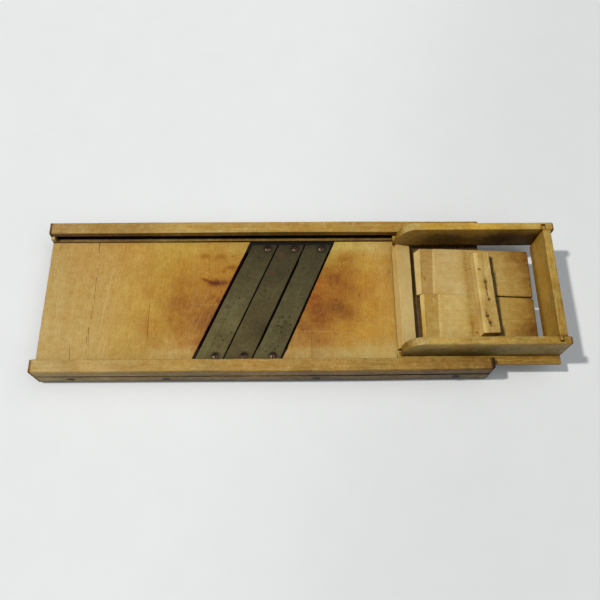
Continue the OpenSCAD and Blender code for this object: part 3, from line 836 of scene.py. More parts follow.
BED_ANCHORS = [
    ((-300, 60, 30), (180, 148, 86)), ((-300, 0, 30), (186, 156, 96)), ((-295, -70, 30), (188, 158, 98)),
    ((-240, 60, 30), (182, 144, 78)), ((-240, 0, 30), (186, 152, 86)), ((-240, -60, 30), (186, 154, 90)),
    ((-190, 70, 30), (184, 144, 76)), ((-190, 20, 30), (184, 146, 76)), ((-190, -50, 30), (186, 152, 82)), ((-168, -8, 30), (190, 154, 82)), ((-168, 30, 30), (182, 142, 72)), ((-164, -70, 30), (180, 148, 82)),
    ((-150, 84, 30), (186, 150, 84)), ((-150, 60, 30), (182, 142, 70)), ((-150, 10, 30), (178, 134, 60)), ((-150, -40, 30), (174, 128, 54)), ((-150, -66, 30), (174, 132, 62)), ((-150, -78, 30), (180, 148, 88)),
    ((-110, 82, 30), (182, 144, 74)), ((-110, 50, 30), (178, 130, 54)), ((-110, 20, 30), (166, 114, 42)), ((-116, -8, 30), (158, 104, 42)), ((-110, -40, 30), (160, 108, 42)), ((-110, -66, 30), (170, 122, 54)), ((-115, -80, 30), (178, 144, 84)),
    ((-80, 84, 30), (178, 138, 72)), ((-80, 60, 30), (172, 122, 50)), ((-85, 30, 30), (168, 116, 44)), ((-85, -5, 30), (158, 104, 42)), ((-85, -35, 30), (152, 98, 40)), ((-92, -62, 30), (160, 110, 50)), ((-100, -80, 30), (176, 140, 80)),
    ((-40, 80, 30), (172, 134, 70)), ((-50, 60, 30), (168, 120, 50)), ((-55, 36, 30), (168, 116, 42)), ((-60, 10, 30), (160, 106, 42)), ((-70, -15, 30), (150, 98, 42)),
    # right of the blades
    ((75, 23, 30), (160, 98, 34)), ((66, -5, 30), (158, 96, 36)), ((72, -12, 30), (144, 90, 34)), ((56, -40, 30), (150, 98, 40)), ((50, -60, 30), (158, 112, 52)), ((45, -80, 30), (170, 136, 76)),
    ((90, 84, 30), (180, 152, 92)), ((88, 62, 30), (170, 132, 66)), ((88, 45, 30), (158, 108, 42)), ((98, 31, 30), (146, 90, 30)), ((95, 5, 30), (150, 92, 30)), ((101, -12, 30), (142, 92, 38)), ((80, -30, 30), (156, 100, 36)), ((78, -60, 30), (160, 110, 44)), ((75, -82, 30), (174, 142, 84)),
    ((120, 86, 30), (186, 158, 98)), ((118, 62, 30), (166, 120, 52)), ((116, 38, 30), (158, 104, 38)), ((114, 20, 30), (156, 100, 34)), ((122, -5, 30), (164, 110, 38)), ((115, -22, 30), (156, 104, 40)), ((112, -45, 30), (170, 120, 44)), ((112, -66, 30), (172, 128, 54)), ((110, -82, 30), (178, 148, 90)),
    ((150, 84, 30), (186, 156, 96)), ((146, 55, 30), (178, 134, 60)), ((140, 25, 30), (174, 124, 46)), ((145, -15, 30), (178, 130, 52)), ((140, -50, 30), (180, 134, 54)), ((140, -80, 30), (184, 154, 94)),
    ((172, 80, 30), (184, 150, 88)), ((172, 50, 30), (176, 134, 64)), ((170, 10, 30), (184, 142, 68)), ((168, -40, 30), (184, 142, 66)), ((168, -80, 30), (184, 152, 90)),
    ((240, 0, 30), (166, 132, 74)), ((240, 55, 30), (162, 128, 70)), ((240, -55, 30), (168, 136, 78)), ((298, 0, 30), (156, 124, 70)), ((298, -60, 30), (162, 130, 76)), ((298, 60, 30), (150, 118, 64)),
]


def blob(p, cx, cy, rx, ry, ang=0.0):
    c, s = math.cos(math.radians(ang)), math.sin(math.radians(ang))
    dx, dy = p[:, 0] - cx, p[:, 1] - cy
    u, w = (dx * c + dy * s) / rx, (-dx * s + dy * c) / ry
    return np.exp(-(u * u + w * w))


def bed_tone(p, n):
    c = tone_field(p, BED_ANCHORS, (1, 0.9, 4), 3.6)
    # the parts the box and the food never rubbed, next to the rails, stayed pale
    band = smooth(-69.5, -72.5, p[:, 1]) * smooth(-162, -156, p[:, 0])
    c = c * (1 + band[:, None] * np.array([0.03, 0.07, 0.18]))
    off = p[:, 0] - seam_x(p[:, 1])
    mine = ((off > 0) * np.exp(-np.clip(off, 0, 999) / 55.0))[:, None]
    c = c * (1 - mine * np.array([0.035, 0.085, 0.24]))
    mine = ((off < 0) * np.exp(np.clip(off, -999, 0) / 26.0))[:, None]
    c = c * (1 - mine * np.array([0.05, 0.13, 0.26]))
    # the wood round the blades has taken up the most juice
    deep = (np.exp(-(np.clip(np.abs(p[:, 0] + 5) - 125, 0, 999) / 26.0) ** 2) * smooth(-66, -40, p[:, 1]))[:, None]
    c = c * (1 - deep * np.array([-0.01, -0.06, 0.14]))
    off = p[:, 0] - RIGHT_SEAM
    mine = ((off > 0) * np.exp(-np.clip(off, 0, 999) / 9.0) * smooth(-20, -60, p[:, 1]))[:, None]
    c = c * (1 - mine * np.array([0.14, 0.15, 0.16]))
    # dirt with painted shade where the pusher stops and along the rear rail beside it: the dark band stands in for the
    # shade in the gap left of the pusher
    dirt_and_gap_shade = smooth(195, 206, p[:, 0]) * smooth(226, 213, p[:, 0])
    dirt_and_gap_shade = np.maximum(dirt_and_gap_shade, smooth(196, 209, p[:, 0]) * smooth(66, 76, p[:, 1]) * smooth(H, 285, p[:, 0] * 0.93))
    c = c * (1 - dirt_and_gap_shade[:, None] * np.array([0.79, 0.82, 0.85]))
    blue = 1 + 0.13 * smooth(-196, -222, p[:, 0]) - 0.10 * np.exp(-((p[:, 0] + 176) / 17.0) ** 2)
    c = c * np.stack([np.ones(len(p)), np.ones(len(p)), blue], 1)
    under = p[:, 2] < BED_Z - 2.0
    return np.where(under[:, None], c * np.array([0.62, 0.56, 0.5]), c)


def bed_grime(p, n):
    x, y, z = p[:, 0], p[:, 1], p[:, 2]
    w = fbm(p, (9, 5, 9), 77, 3)
    g = 0.06 * blob(p, -116, 0, 12, 38, 10) + 0.04 * blob(p, -128, -30, 12, 20, 10) + 0.14 * blob(p, -72, -42, 16, 26, 24)
    g += 0.16 * blob(p, 101, -12, 15, 11) + 0.14 * blob(p, 98, 31, 20, 18) + 0.17 * blob(p, 74, -10, 12, 22, 10)
    g += 0.13 * blob(p, 80, -31, 14, 12) + 0.12 * blob(p, 54, -46, 8, 10) + 0.16 * blob(p, 113, 60, 14, 8) + 0.16 * blob(p, 114, -21, 14, 8)
    g = g * (1 + 0.6 * w)
    # beside the blades the wood is darkened by rust and juice
    dl = (LEFT_X + K * y) - x
    g += np.where(dl > -1, np.exp(-np.clip(dl, 0, 99) / 4.0) * 0.16 * (1 + w), 0) * (x < 0) * smooth(75, 30, y)
    dr = x - (RIGHT_X + K * y)
    g += np.where(dr > -1, np.exp(-np.clip(dr, 0, 99) / 6.0) * 0.07 * (1 + w), 0) * (x > 0) * smooth(65, 30, y)
    # cracks and seams
    deep = smooth(BED_Z - 0.15, BED_Z - 0.9, z)
    g = np.maximum(g, deep * 0.95)
    # the bed is a little darker under the box
    g += 0.05 * smooth(CX1 + 1, CX1 + 27, x)
    # dirt along the rails
    g += 0.10 * np.exp(-(YL + 0.3 - np.abs(y)) / 1.2)
    return np.clip(g * np.where(z > BED_Z - 3, 1.0, 0.6), 0, 1)


BED_WOOD = wood("bed_wood_old", "y", fibre=0.12, streak=0.08, mottle=0.30, pores=0.30, ring=0.05, speck=0.46, scratch=0.13, ends=0.3, offset=(3, 7, 1), hue=0.25,
                spots=[(-270, 12, 7, 4, 0, 0.14), (-276, -30, 6, 9, 0, 0.12), (-205, 62, 5, 3, 0, 0.14), (-185, 45, 5, 3, 0, 0.10), (-165, 20, 5, 16, 0, 0.10),
                       (99.4, -2.8, 3.2, 2.2, 30, 0.55), (131.9, 5.3, 6.5, 1.8, 84, 0.3), (175.7, 40.8, 3.2, 4.5, 0, 0.30), (73.9, -62.1, 5, 6, 0, 0.16), (-293, 80, 8, 4, 90, 0.2),
                       (113.4, 20, 4, 9, 0, 0.12), (104, 30, 5, 12, 0, 0.10)],
                strokes=[(-213.0, 51.6, -219.0, 5.4, 0.6, 0.8), (-219.0, 5.4, -221.1, -21.6, 0.7, 0.9), (-221.1, -21.6, -223.3, -53.7, 0.65, 0.8), (-216.2, 24.4, -218.9, -18.6, 0.45, 0.5),
                         (-213.7, -60.9, -216.1, -85.0, 0.8, 0.7), (-220.0, -56.0, -222.0, -85.0, 0.8, 0.6), (-160.5, -36, -186, -34.5, 0.5, 0.22),
                         (66, -48.2, 95, -48.8, 0.5, 0.5), (94, -48.7, 124, -51.6, 0.5, 0.4), (66, -37, 78, -36.5, 0.45, 0.25), (90, -31.5, 106, -33.6, 0.4, -0.2), (140, -40, 168, -44, 0.4, 0.3),
                         (118, -62, 156, -60, 0.5, 0.3), (127, 20, 126.4, -30, 0.4, 0.3), (139.5, 60, 138.5, -60, 0.35, 0.22)])
BED_WOOD_2 = wood("bed_wood_inner", "y", fibre=0.12, streak=0.08, mottle=0.32, pores=0.28, ring=0.05, speck=0.42, scratch=0.20, ends=0.3, offset=(41, 13, 9), hue=0.2,
                  spots=[(-70.0, 24.2, 10.5, 7.0, 0, 0.45), (-61, 24.6, 5.5, 21, 88, 0.45), (-66, 25, 11, 27, 90, 0.34), (-81, 28.0, 4.0, 12, 110, 0.60), (-84, 66.8, 6.5, 13, 95, 0.30), (-63, 65.0, 6.0, 15, 86, 0.34), (-46, 66, 3, 6, 90, 0.25),
                         (-48, 48.5, 5.2, 14, 88, 0.42), (-58, 43, 4, 8, 80, 0.25), (-115, 25.4, 2.4, 6, 90, 0.16), (-105, 12.8, 1.8, 1.3, 0, 0.4), (-123, -25, 1.2, 0.9, 0, 0.7), (-128, -30, 8, 6, 0, 0.14),
                         (-71.6, 3.0, 7, 6, 0, 0.2), (-64, -1, 5, 7, 0, 0.3), (-96, -73, 7, 2.6, 90, 0.12), (54, -46, 4, 5, 0, 0.3)],
                  strokes=[(-78, 25.6, -66, 24.2, 1.8, -0.8), (-66, 24.2, -53, 24.6, 1.6, -0.6), (-84, 29.5, -78, 25.6, 0.9, -0.3), (-73, 24.6, -68, 24.2, 2.4, -0.5),
                           (-76.0, 15.4, -93, -24, 0.4, 0.34), (-92, -22, -108.2, -59.8, 0.4, 0.40), (-83.2, -17.4, -98.6, -54.6, 0.4, 0.36), (-74, -20, -84, -48, 0.4, 0.26), (-88, 4, -100, -16, 0.35, 0.3), (-100, -30, -113, -62, 0.35, 0.3),
                           (-103.9, -6.5, -63.5, -9.4, 0.4, 0.32), (-94.0, 43.6, -84, 41.5, 0.5, 0.5), (-84, 41.5, -75.7, 36.4, 0.5, 0.5), (-92, 62, -94, 52, 0.5, 0.3), (-156.4, -71.2, -119.6, -72.0, 0.5, -0.18),
                           (-119, -69.2, -86.8, -69.0, 0.4, 0.25), (-136, 80, -137, 55, 0.6, 0.22), (-152, 60, -148, 44, 0.5, 0.25), (-146, 62, -142, 46, 0.5, 0.2), (-118, 55, -113, 44, 0.5, 0.22),
                           (36, -48.0, 66, -48.2, 0.5, 0.45), (58, -37, 66, -37, 0.45, 0.25), (62, 5, 61.5, -60, 0.4, -0.10)])


def seam_gap(y):
    return 0.02 + 0.16 * float(smooth(8, -14, y)) * float(smooth(-66, -52, y)) + 0.07 * float(smooth(84, 88, y))


def right_gap(y):
    return 0.02 + 0.07 * float(smooth(-48, -60, y))


def near_seams(v):
    d = np.minimum(np.abs(v[:, 0] - seam_x(v[:, 1])), np.abs(v[:, 0] - RIGHT_SEAM))
    return smooth(0.5, 7.0, d)


yb = YL - 0.05
v, f = bed_board(-yb, yb, lambda y: -H, seam_x, None, seam_gap, CRACKS_LEFT, seed=50, rl=1.4, rr=0.18, step_y=2.0, cols=24)
make("worn_bed_left", v, f, BED_WOOD, "board", "bed_left_board", "bed_wood", bed_tone, bed_grime, amp=0.26, grain=(5, 40, 5), seed=31, hold=near_seams)
v, f = bed_board(-yb, yb, seam_x, lambda y: LEFT_X + K * y, seam_gap, None, (), seed=60, rl=0.18, rr=1.0, cols=22, step_y=2.0)
make("worn_bed_left_inner", v, f, BED_WOOD_2, "board", "bed_left_inner_board", "bed_wood", bed_tone, bed_grime, amp=0.26, grain=(5, 40, 5), seed=33, hold=near_seams)
ytop = (RIGHT_SEAM - RIGHT_X) / K
v, f = bed_board(-yb, ytop - 2.2, lambda y: RIGHT_X + K * y, lambda y: RIGHT_SEAM, None, right_gap, (), seed=70, rl=1.0, rr=0.18, cols=8, step_y=2.0)
make("worn_bed_right_inner", v, f, BED_WOOD_2, "board", "bed_right_inner_board", "bed_wood", bed_tone, bed_grime, amp=0.24, grain=(5, 40, 5), seed=35, hold=near_seams)
v, f = bed_board(-yb, yb, lambda y: max(RIGHT_SEAM, RIGHT_X + K * y), lambda y: H, right_gap, None, (), seed=80, rl=0.22, rr=1.4, cols=30, step_y=2.0)
make("worn_bed_right", v, f, BED_WOOD, "board", "bed_right_board", "bed_wood", bed_tone, bed_grime, amp=0.26, grain=(5, 40, 5), seed=37, hold=near_seams)


# ----------------------------------------------------------- blade ledges --
def ledge(rear):
    lo, hi = node_box("rear_blade_ledge" if rear else "front_blade_ledge")
    y0, y1 = lo[1], hi[1]
    bw, bp, bx = BLADE_W * CA, BLADE_PITCH * CA, BLADE_X * CA
    fall = BITE / bw

    def seat(x):
        return BED_Z - BLADE_T + (bw - x) * fall
    rx, lx = RIGHT_X * CA, LEFT_X * CA
    prof = [(lx, BED_B, 0.5), (rx, BED_B, 0.5), (rx, seat(rx - bx - 2 * bp), 0.5)]
    for i in (2, 1):
        prof += [(bx + i * bp - 1, seat(-1), 0.2), (bx + i * bp - 1, seat(bp - 1), 0.2)]
    prof += [(lx, seat(lx - bx), 0.5)]
    o = outline(prof, seg=3, edges=[20, 4, 10, 0, 10, 0, 10, 4])
    rings = []
    for y in np.linspace(y0, y1, 10):
        # across the slant -> x at this y
        rings.append(np.stack([o[:, 0] / CA + K * y, np.full(len(o), y), o[:, 1]], 1))
    return loft(rings)


LEDGE_WOOD = wood("ledge_wood", "x", mottle=0.35, offset=(9, 2, 33))
for rear in (True, False):
    nm = "rear_blade_ledge" if rear else "front_blade_ledge"
    v, f = ledge(rear)
    # the ledges are painted near black as shade in the recess under the blade ends
    make("worn_" + nm, v, f, LEDGE_WOOD, "board", nm, "bed_wood", lambda p, n: np.tile(lin((44, 28, 6)), (len(p), 1)), lambda p, n: np.full(len(p), 0.45), amp=0.1, seed=41)


# ----------------------------------------------------------------- blades --
SCREW_OFF = 25.2
REAR_SY, FRONT_SY = 77.7, -83.2


def screw_at(i, rear):
    y = REAR_SY if rear else FRONT_SY
    return BLADE_X + i * BLADE_PITCH + SCREW_OFF + K * y, y


def blade(i):
    lo, hi = node_box("blade_%d" % (i + 1))
    y0, y1 = lo[1], hi[1]
    ys = stations(y0, y1, 1.25, 0.35, 0.35, k=2)
    bw = BLADE_W * CA
    fall = BITE / bw

    def seat(x):
        return BED_Z - BLADE_T + (bw - x) * fall
    wob = line_noise(ys, 30, 90 + i)
    rings = []
    for j, y in enumerate(ys):
        lead = 0.25 + 0.12 * wob[j]
        if i == 2:      # the third edge has been ground back in the middle
            lead += 1.25 * smooth(64, 52, y) * smooth(-78, -60, y)
        if i == 0:
            lead += 0.9 * smooth(20, 80, y)
        # across the slant: 0 is the cutting edge
        prof = [(lead, seat(lead) + 1.62, 0.05), (lead + 4.4, seat(4.5), 0.3), (bw, seat(bw), 0.2), (bw, BED_Z, 0.35), (8 + lead * 0.6, seat(8) + BLADE_T, 0.0), (lead, seat(lead) + 1.88, 0.05)]
        o = outline(prof, seg=2, edges=[3, 16, 1, 22, 7, 0])
        x = o[:, 0] / CA + BLADE_X + i * BLADE_PITCH + K * y
        rings.append(np.stack([x, np.full(len(o), y), o[:, 1]], 1))
    return loft(rings)


def blade_tone(i):
    rear = [(72, 64, 42), (70, 62, 42), (72, 66, 46)][i]
    mid = [(96, 90, 64), (84, 76, 50), (86, 80, 56)][i]
    frt = [(110, 102, 70), (94, 84, 54), (100, 94, 66)][i]

    def f(p, n):
        t = smooth(88, -86, p[:, 1])[:, None]
        c = np.where(t < 0.5, lin(rear) + (lin(mid) - lin(rear)) * t * 2, lin(mid) + (lin(frt) - lin(mid)) * (t * 2 - 1))
        return c
    return f


def blade_grime(i):
    def f(p, n):
        x, y = p[:, 0], p[:, 1]
        a = x - (BLADE_X + i * BLADE_PITCH + K * y)
        g = 0.30 * np.exp(-np.clip(84 - y, 0, 99) / 5.0) + 0.22 * np.exp(-np.clip(y + 88, 0, 99) / 5.0)
        for r in (True, False):
            sx, sy = screw_at(i, r)
            d = np.hypot(x - sx, y - sy)
            g = g + 0.8 * np.exp(-np.clip(d - 5.0, 0, 99) / 1.1)
        if i == 2:
            g = g + 0.25 * blob(p, 24, -42, 14, 22, 0) * smooth(-0.1, 0.5, fbm(p, (7, 7, 7), 5, 2) + 0.3)
        if i == 0:
            g = g + 0.2 * blob(p, -52, -58, 16, 12) + 0.22 * np.exp(-np.abs(a - 14.5) / 0.45)
        if i == 1:
            g = g + 0.25 * blob(p, 2, -45, 18, 20)
        g = g + 0.25 * np.exp(-np.clip(BLADE_W - a, 0, 99) / 1.0)
        return g
    return f


PITS = [
    [(-34.2, 1.4, 1.5), (-29.0, -10.3, 1.1), (-7.8, 64.1, 1.7), (-43.5, -49.5, 1.8), (-59.2, -54.2, 1.3), (-65.8, -57.4, 1.2), (-54.7, -60.3, 1.4), (-61.7, -49.4, 0.9),
     (-50.2, -11.9, -4.5), (-22, 30, -4.0), (-60, -70, -4.0)],
    [(-18.7, -44.0, 1.1), (-27.9, -43.1, 1.2), (1.7, 11.6, 1.2), (-8.3, -34.3, 1.3), (33.6, 43.7, 1.9), (5.1, -14.2, -2.6), (-8.7, -14.6, -2.4), (22.3, 68.4, -6.0), (-33.0, -75.0, -6.0), (-39.2, -67.1, -5.0), (10, 40, -5)],
    [(25.8, -27.1, 1.8), (35.8, -26.9, 1.5), (20.6, -34.5, 1.5), (19.8, -40.1, 1.7), (23.6, -41.8, 1.4), (36.5, -38.6, 1.9), (23.7, -49.1, 1.5), (29.7, -53.1, 1.2),
     (9.6, -70.5, 1.4), (15.6, -72.9, 1.7), (20.0, -69.8, 1.3), (3.7, -76.8, 1.4), (48.9, 6.0, 1.2), (54.6, 47.1, 1.3), (30, -34, 1.1), (12, -66, 1.1), (47, 70, -5), (24, -60, -6)],
]
for i in range(3):
    v, f = blade(i)
    make("ground_blade_%d" % (i + 1), v, f, steel("blade_steel_%d" % (i + 1), (17 * i, 5 * i, 0), PITS[i]), "board", "blade_%d" % (i + 1), "blade_steel",
         blade_tone(i), blade_grime(i), amp=0.06, grain=(6, 6, 6), seed=45 + i, angle=28)


# -------------------------------------------------------- screws and nails --
def head(r, dome, slot_w, slot_d, slot_a, rim=0.35, cone=2.1, shank=2.0, length=16.0, seed=0):
    """Slotted screw along +Z, rim of the head at z = 0."""
    s2 = slot_w / 2
    ps = sorted(set([round(-r * math.cos(math.pi * k / 22), 4) for k in range(23)] + [-s2 - 0.12, -s2, s2, s2 + 0.12]))
    ps = [p for p in ps if not (s2 + 0.12 < abs(p) < s2 + 0.3)]
    m = 18
    grid = []
    for p in ps:
        q_max = math.sqrt(max(0.0, r * r - p * p))
        row = []
        for k in range(m + 1):
            q = -q_max * math.cos(math.pi * k / m)
            d2 = min(1.0, (p * p + q * q) / (r * r))
            z = dome * (1 - d2 ** 1.25)
            if abs(p) <= s2:
                z = min(z, dome * 0.96 - slot_d)
            row.append((p, q, z))
        grid.append(row)
    v = [pt for row in grid for pt in row]
    f = []
    w = m + 1
    for a in range(len(ps) - 1):
        for b in range(m):
            f.append([a * w + b, (a + 1) * w + b, (a + 1) * w + b + 1, a * w + b + 1])
    # rim loop, going round once
    loop = [a * w for a in range(len(ps))] + [(len(ps) - 1) * w + b for b in range(1, m + 1)]
    loop += [a * w + m for a in range(len(ps) - 2, -1, -1)] + [b for b in range(m - 1, 0, -1)]
    base = [v[i] for i in loop]
    prev = loop
    for z, rr in ((-rim, 1.0), (-cone, shank / r), (-length + 4, shank / r), (-length + 1.5, 0.4 * shank / r), (-length, 0.02)):
        start = len(v)
        for (x, y, _), i in zip(base, loop):
            v.append((x * rr, y * rr, z))
        cur = list(range(start, start + len(loop)))
        for k in range(len(loop)):
            f.append([prev[k], cur[k], cur[(k + 1) % len(loop)], prev[(k + 1) % len(loop)]][::-1])
        prev = cur
    f.append(prev)
    v = np.array(v)
    c, s = math.cos(math.radians(slot_a)), math.sin(math.radians(slot_a))
    v = np.stack([v[:, 0] * c - v[:, 1] * s, v[:, 0] * s + v[:, 1] * c, v[:, 2]], 1)
    # merge the points that fall together at the two ends of the rim
    return weld(v, f)


def weld(v, f, tol=1e-4):
    key = {}
    idx = np.zeros(len(v), int)
    out = []
    for i, p in enumerate(v):
        k = (round(p[0] / tol), round(p[1] / tol), round(p[2] / tol))
        if k not in key:
            key[k] = len(out)
            out.append(p)
        idx[i] = key[k]
    nf = []
    for q in f:
        g = []
        for i in q:
            j = int(idx[i])
            if not g or g[-1] != j:
                g.append(j)
        if len(g) > 1 and g[0] == g[-1]:
            g.pop()
        if len(set(g)) > 2 and len(set(g)) == len(g):
            nf.append(g)
    return np.array(out), nf


def nail_shape(length, r=1.1, r_head=1.7, seed=0, dome=0.0):
    """Cut nail along +Z with a slightly uneven head, top at z = 0."""
    n = 16
    a = np.linspace(0, 2 * math.pi, n, endpoint=False)
    j = 1 + 0.06 * vnoise(np.stack([np.cos(a) * 1.3 + seed, np.sin(a) * 1.3, a * 0], 1), (1, 1, 1), seed)
    rings = []
    for z, rr in ((-length, 0.02), (-length + 2.5, r * 0.5), (-length + 5, r), (-1.0, r), (-0.6, r_head * 0.98), (-0.18, r_head), (0 - 0.04, r_head * 0.9), (dome, r_head * 0.5), (dome, r_head * 0.05)):
        rings.append(np.stack([rr * np.cos(a) * j, rr * np.sin(a) * j, np.full(n, z)], 1))
    return loft(rings)


def place(v, pos, axis):
    """Turns +Z to an axis and moves to pos."""
    x, y, z = v[:, 0], v[:, 1], v[:, 2]
    m = {"+z": (x, y, z), "-z": (x, -y, -z), "+y": (x, z, -y), "-y": (x, -z, y)}[axis]
    return np.stack(m, 1) + np.array(pos, float)


SCREW_IRON = iron("screw_iron", base=(0.028, 0.016, 0.010), light=(0.38, 0.265, 0.17), rust=(0.085, 0.040, 0.020), metal=0.8, worn=0.6, rough=0.16)
DARK_IRON = iron("dark_iron", base=(0.012, 0.009, 0.007), light=(0.07, 0.055, 0.04), rust=(0.035, 0.018, 0.009), metal=0.5, worn=0.35, rough=0.4)
BRIGHT_IRON = iron("nail_iron", base=(0.05, 0.036, 0.025), light=(0.42, 0.40, 0.36), rust=(0.09, 0.040, 0.018), metal=0.8, worn=0.55, rough=0.25)

b = Parts()
for rear in (1, 0):
    for i in range(3):
        hv, hf = head(4.8, 1.25, 1.15, 0.95, ([58, 20, 62] if rear else [100, 35, 80])[i] + 90)
        sx, sy = screw_at(i, rear)
        b.add(place(hv, (sx, sy, BED_Z + 0.35), "+z"), hf)
v, f = b.get()
make("slotted_blade_screws", v, f, SCREW_IRON, "board", "blade_screws", "old_iron", amp=0.0, angle=32)

b = Parts()
for front in (0, 1):
    for k, sx in enumerate([-258, -130, 71, 258] if front else [-258, -130, 130, 258]):
        hv, hf = head(5.0, 0.12, 1.1, 0.9, [20, 75, -35, 50][k] + 90, cone=3.2, shank=2.2, length=46)
        b.add(place(hv, (sx, (-1 if front else 1) * (HW - 0.75), 17.5), "-y" if front else "+y"), hf)
v, f = b.get()
make("slotted_rail_screws", v, f, DARK_IRON, "board", "rail_screws", "old_iron", amp=0.0, angle=32)


# -------------------------------------------------------------------- box --
def side(front):
    more = 1.4 if front else 0.0
    xa, xb = SX0 - more, SX1
    cx, rx, rz = SX0 + 25, 25 + more, 36.0
    extra = [cx - rx * math.cos(math.pi / 2 * k / 22) for k in range(1, 23)]
    xs = stations(xa, xb, 3.0, 0.9, 5.0, extra=extra, k=6)
    w1, w2 = line_noise(xs, 22, 101 + front), line_noise(xs, 18, 103 + front)
    nick = np.maximum(0, line_noise(xs, 7, 107 + front) - 0.45) * 5
    rings = []
    for i, x in enumerate(xs):
        t = max(0.0, min(1.0, (cx - x) / rx))
        zt = BOX_TOP - rz + rz * math.sqrt(max(0.0, 1 - t * t)) if x < cx else BOX_TOP
        if x > xb - 5.0:
            zt = BOX_TOP - 5.0 * (1 - math.sqrt(max(0.0, 1 - ((x - xb + 5.0) / 5.0) ** 2)))
        cut_back = smooth(cx + 3, cx - 3, x)                       # the curve was sawn later and is crisper
        ro = ((2.7 if front else 0.8) + (0.4 if front else 0.2) * w1[i] + min(nick[i], 1.0 if front else 0.4)) * (1 - cut_back) + 0.7 * cut_back
        ri = (1.2 + 0.4 * w2[i]) * (1 - cut_back) + 0.6 * cut_back
        c = [(SIDE_IN, SIDE_B, 0.6), (SIDE_OUT, SIDE_B, 2.0), (SIDE_OUT, zt, ro), (SIDE_IN, zt, ri)]
        o = outline(c, seg=5, edges=[3, 16, 5, 16])
        d = end_drop(np.array([x]), xa, xb, 0.9, 3.4)[0]
        o[:, 0] = np.clip(o[:, 0], SIDE_IN + min(d, 1.2), SIDE_OUT - d)
        o[:, 1] = np.maximum(o[:, 1], SIDE_B + min(d, 0.8))
        rings.append(np.stack([np.full(len(o), x), o[:, 0] * (-1 if front else 1), o[:, 1]], 1))
    v, f = loft(rings)
    s = -1 if front else 1
    # housing for the tongue of the end board
    q = outline([(EX0 - 0.05, s * (SIDE_IN - 1), 0), (EX0 + 4.35, s * (SIDE_IN - 1), 0), (EX0 + 4.35, s * (SIDE_IN + 7.6), 0.4), (EX0 - 0.05, s * (SIDE_IN + 7.6), 0.4)], seg=2, step=3)
    dado = loft([np.stack([q[:, 0], q[:, 1], np.full(len(q), z)], 1) for z in (SIDE_B - 3, BOX_TOP + 3)])
    return cut(v, f, [dado])


# the anchors at y = 77 paint the inner face of the rear side near black as shade
REAR_SIDE = [((190, 88, 60), (184, 158, 104)), ((203, 88, 80), (184, 156, 100)), ((230, 84, 86), (192, 158, 80)), ((300, 84, 86), (196, 158, 72)), ((370, 84, 86), (188, 155, 82)), ((393, 84, 84), (172, 144, 82)),
             ((250, 77, 60), (74, 53, 22)), ((330, 77, 60), (58, 41, 15)), ((380, 77, 60), (76, 55, 22)), ((300, 87, 50), (132, 106, 62))]
FRONT_SIDE = [((188, -84, 60), (170, 144, 92)), ((203, -84, 80), (176, 150, 96)), ((225, -82, 86), (182, 152, 84)), ((300, -82, 86), (170, 138, 72)), ((370, -82, 86), (160, 130, 64)), ((393, -82, 84), (150, 122, 62)),
              ((220, -87, 60), (124, 104, 66)), ((300, -87, 60), (128, 112, 72)), ((370, -87, 60), (136, 118, 78)), ((300, -77, 60), (110, 84, 44))]


def side_tone(front):
    def f(p, n):
        c = tone_field(p, FRONT_SIDE if front else REAR_SIDE, (1, 0.25, 0.5), 3.4)
        curve = smooth(SX0 + 27, SX0 + 24, p[:, 0]) * smooth(0.05, 0.35, n[:, 2] - np.abs(n[:, 1]) * 0.4)
        bare = lin((186, 162, 112)) if front else lin((184, 158, 104))
        return c * (1 - curve[:, None] * 0.8) + bare * curve[:, None] * 0.8
    return f


def side_grime_and_shade(front):
    def f(p, n):
        x, y, z = p[:, 0], np.abs(p[:, 1]), p[:, 2]
        g = smooth(46, 38, z) * 0.45
        # the rounded right end is painted darker as shade
        g = np.maximum(g, smooth(SX1 - 4.6, SX1 - 1.2, x) * 0.75)
        w = fbm(p, (5, 3, 5), 7 + front, 3)
        g = g + 0.22 * np.clip(w, 0, 1) * (z > BOX_TOP - 6)
        curve = smooth(SX0 + 26, SX0 + 22, x) * (n[:, 2] > 0.25)
        if front:
            g = g + curve * 0.25 * smooth(0.0, 0.5, fbm(p, (4, 3, 4), 13, 2) + 0.35)
        g = g + 0.6 * np.exp(-np.abs(x - EX0 - 2) / 2.5) * (z > BOX_TOP - 2) * (y < SIDE_IN + 8)
        return g
    return f


SIDE_WOOD = wood("side_wood_old", "x", fibre=0.20, streak=0.18, mottle=0.38, pores=0.7, ring=0.12, speck=0.66, ends=0.45, offset=(23, 9, 4))
for front in (False, True):
    nm = "box_front_side" if front else "box_rear_side"
    v, f = side(front)
    make("worn_" + nm, v, f, SIDE_WOOD, "box", nm, "box_wood", side_tone(front), side_grime_and_shade(front), amp=0.2, grain=(30, 5, 5), seed=51 + front)


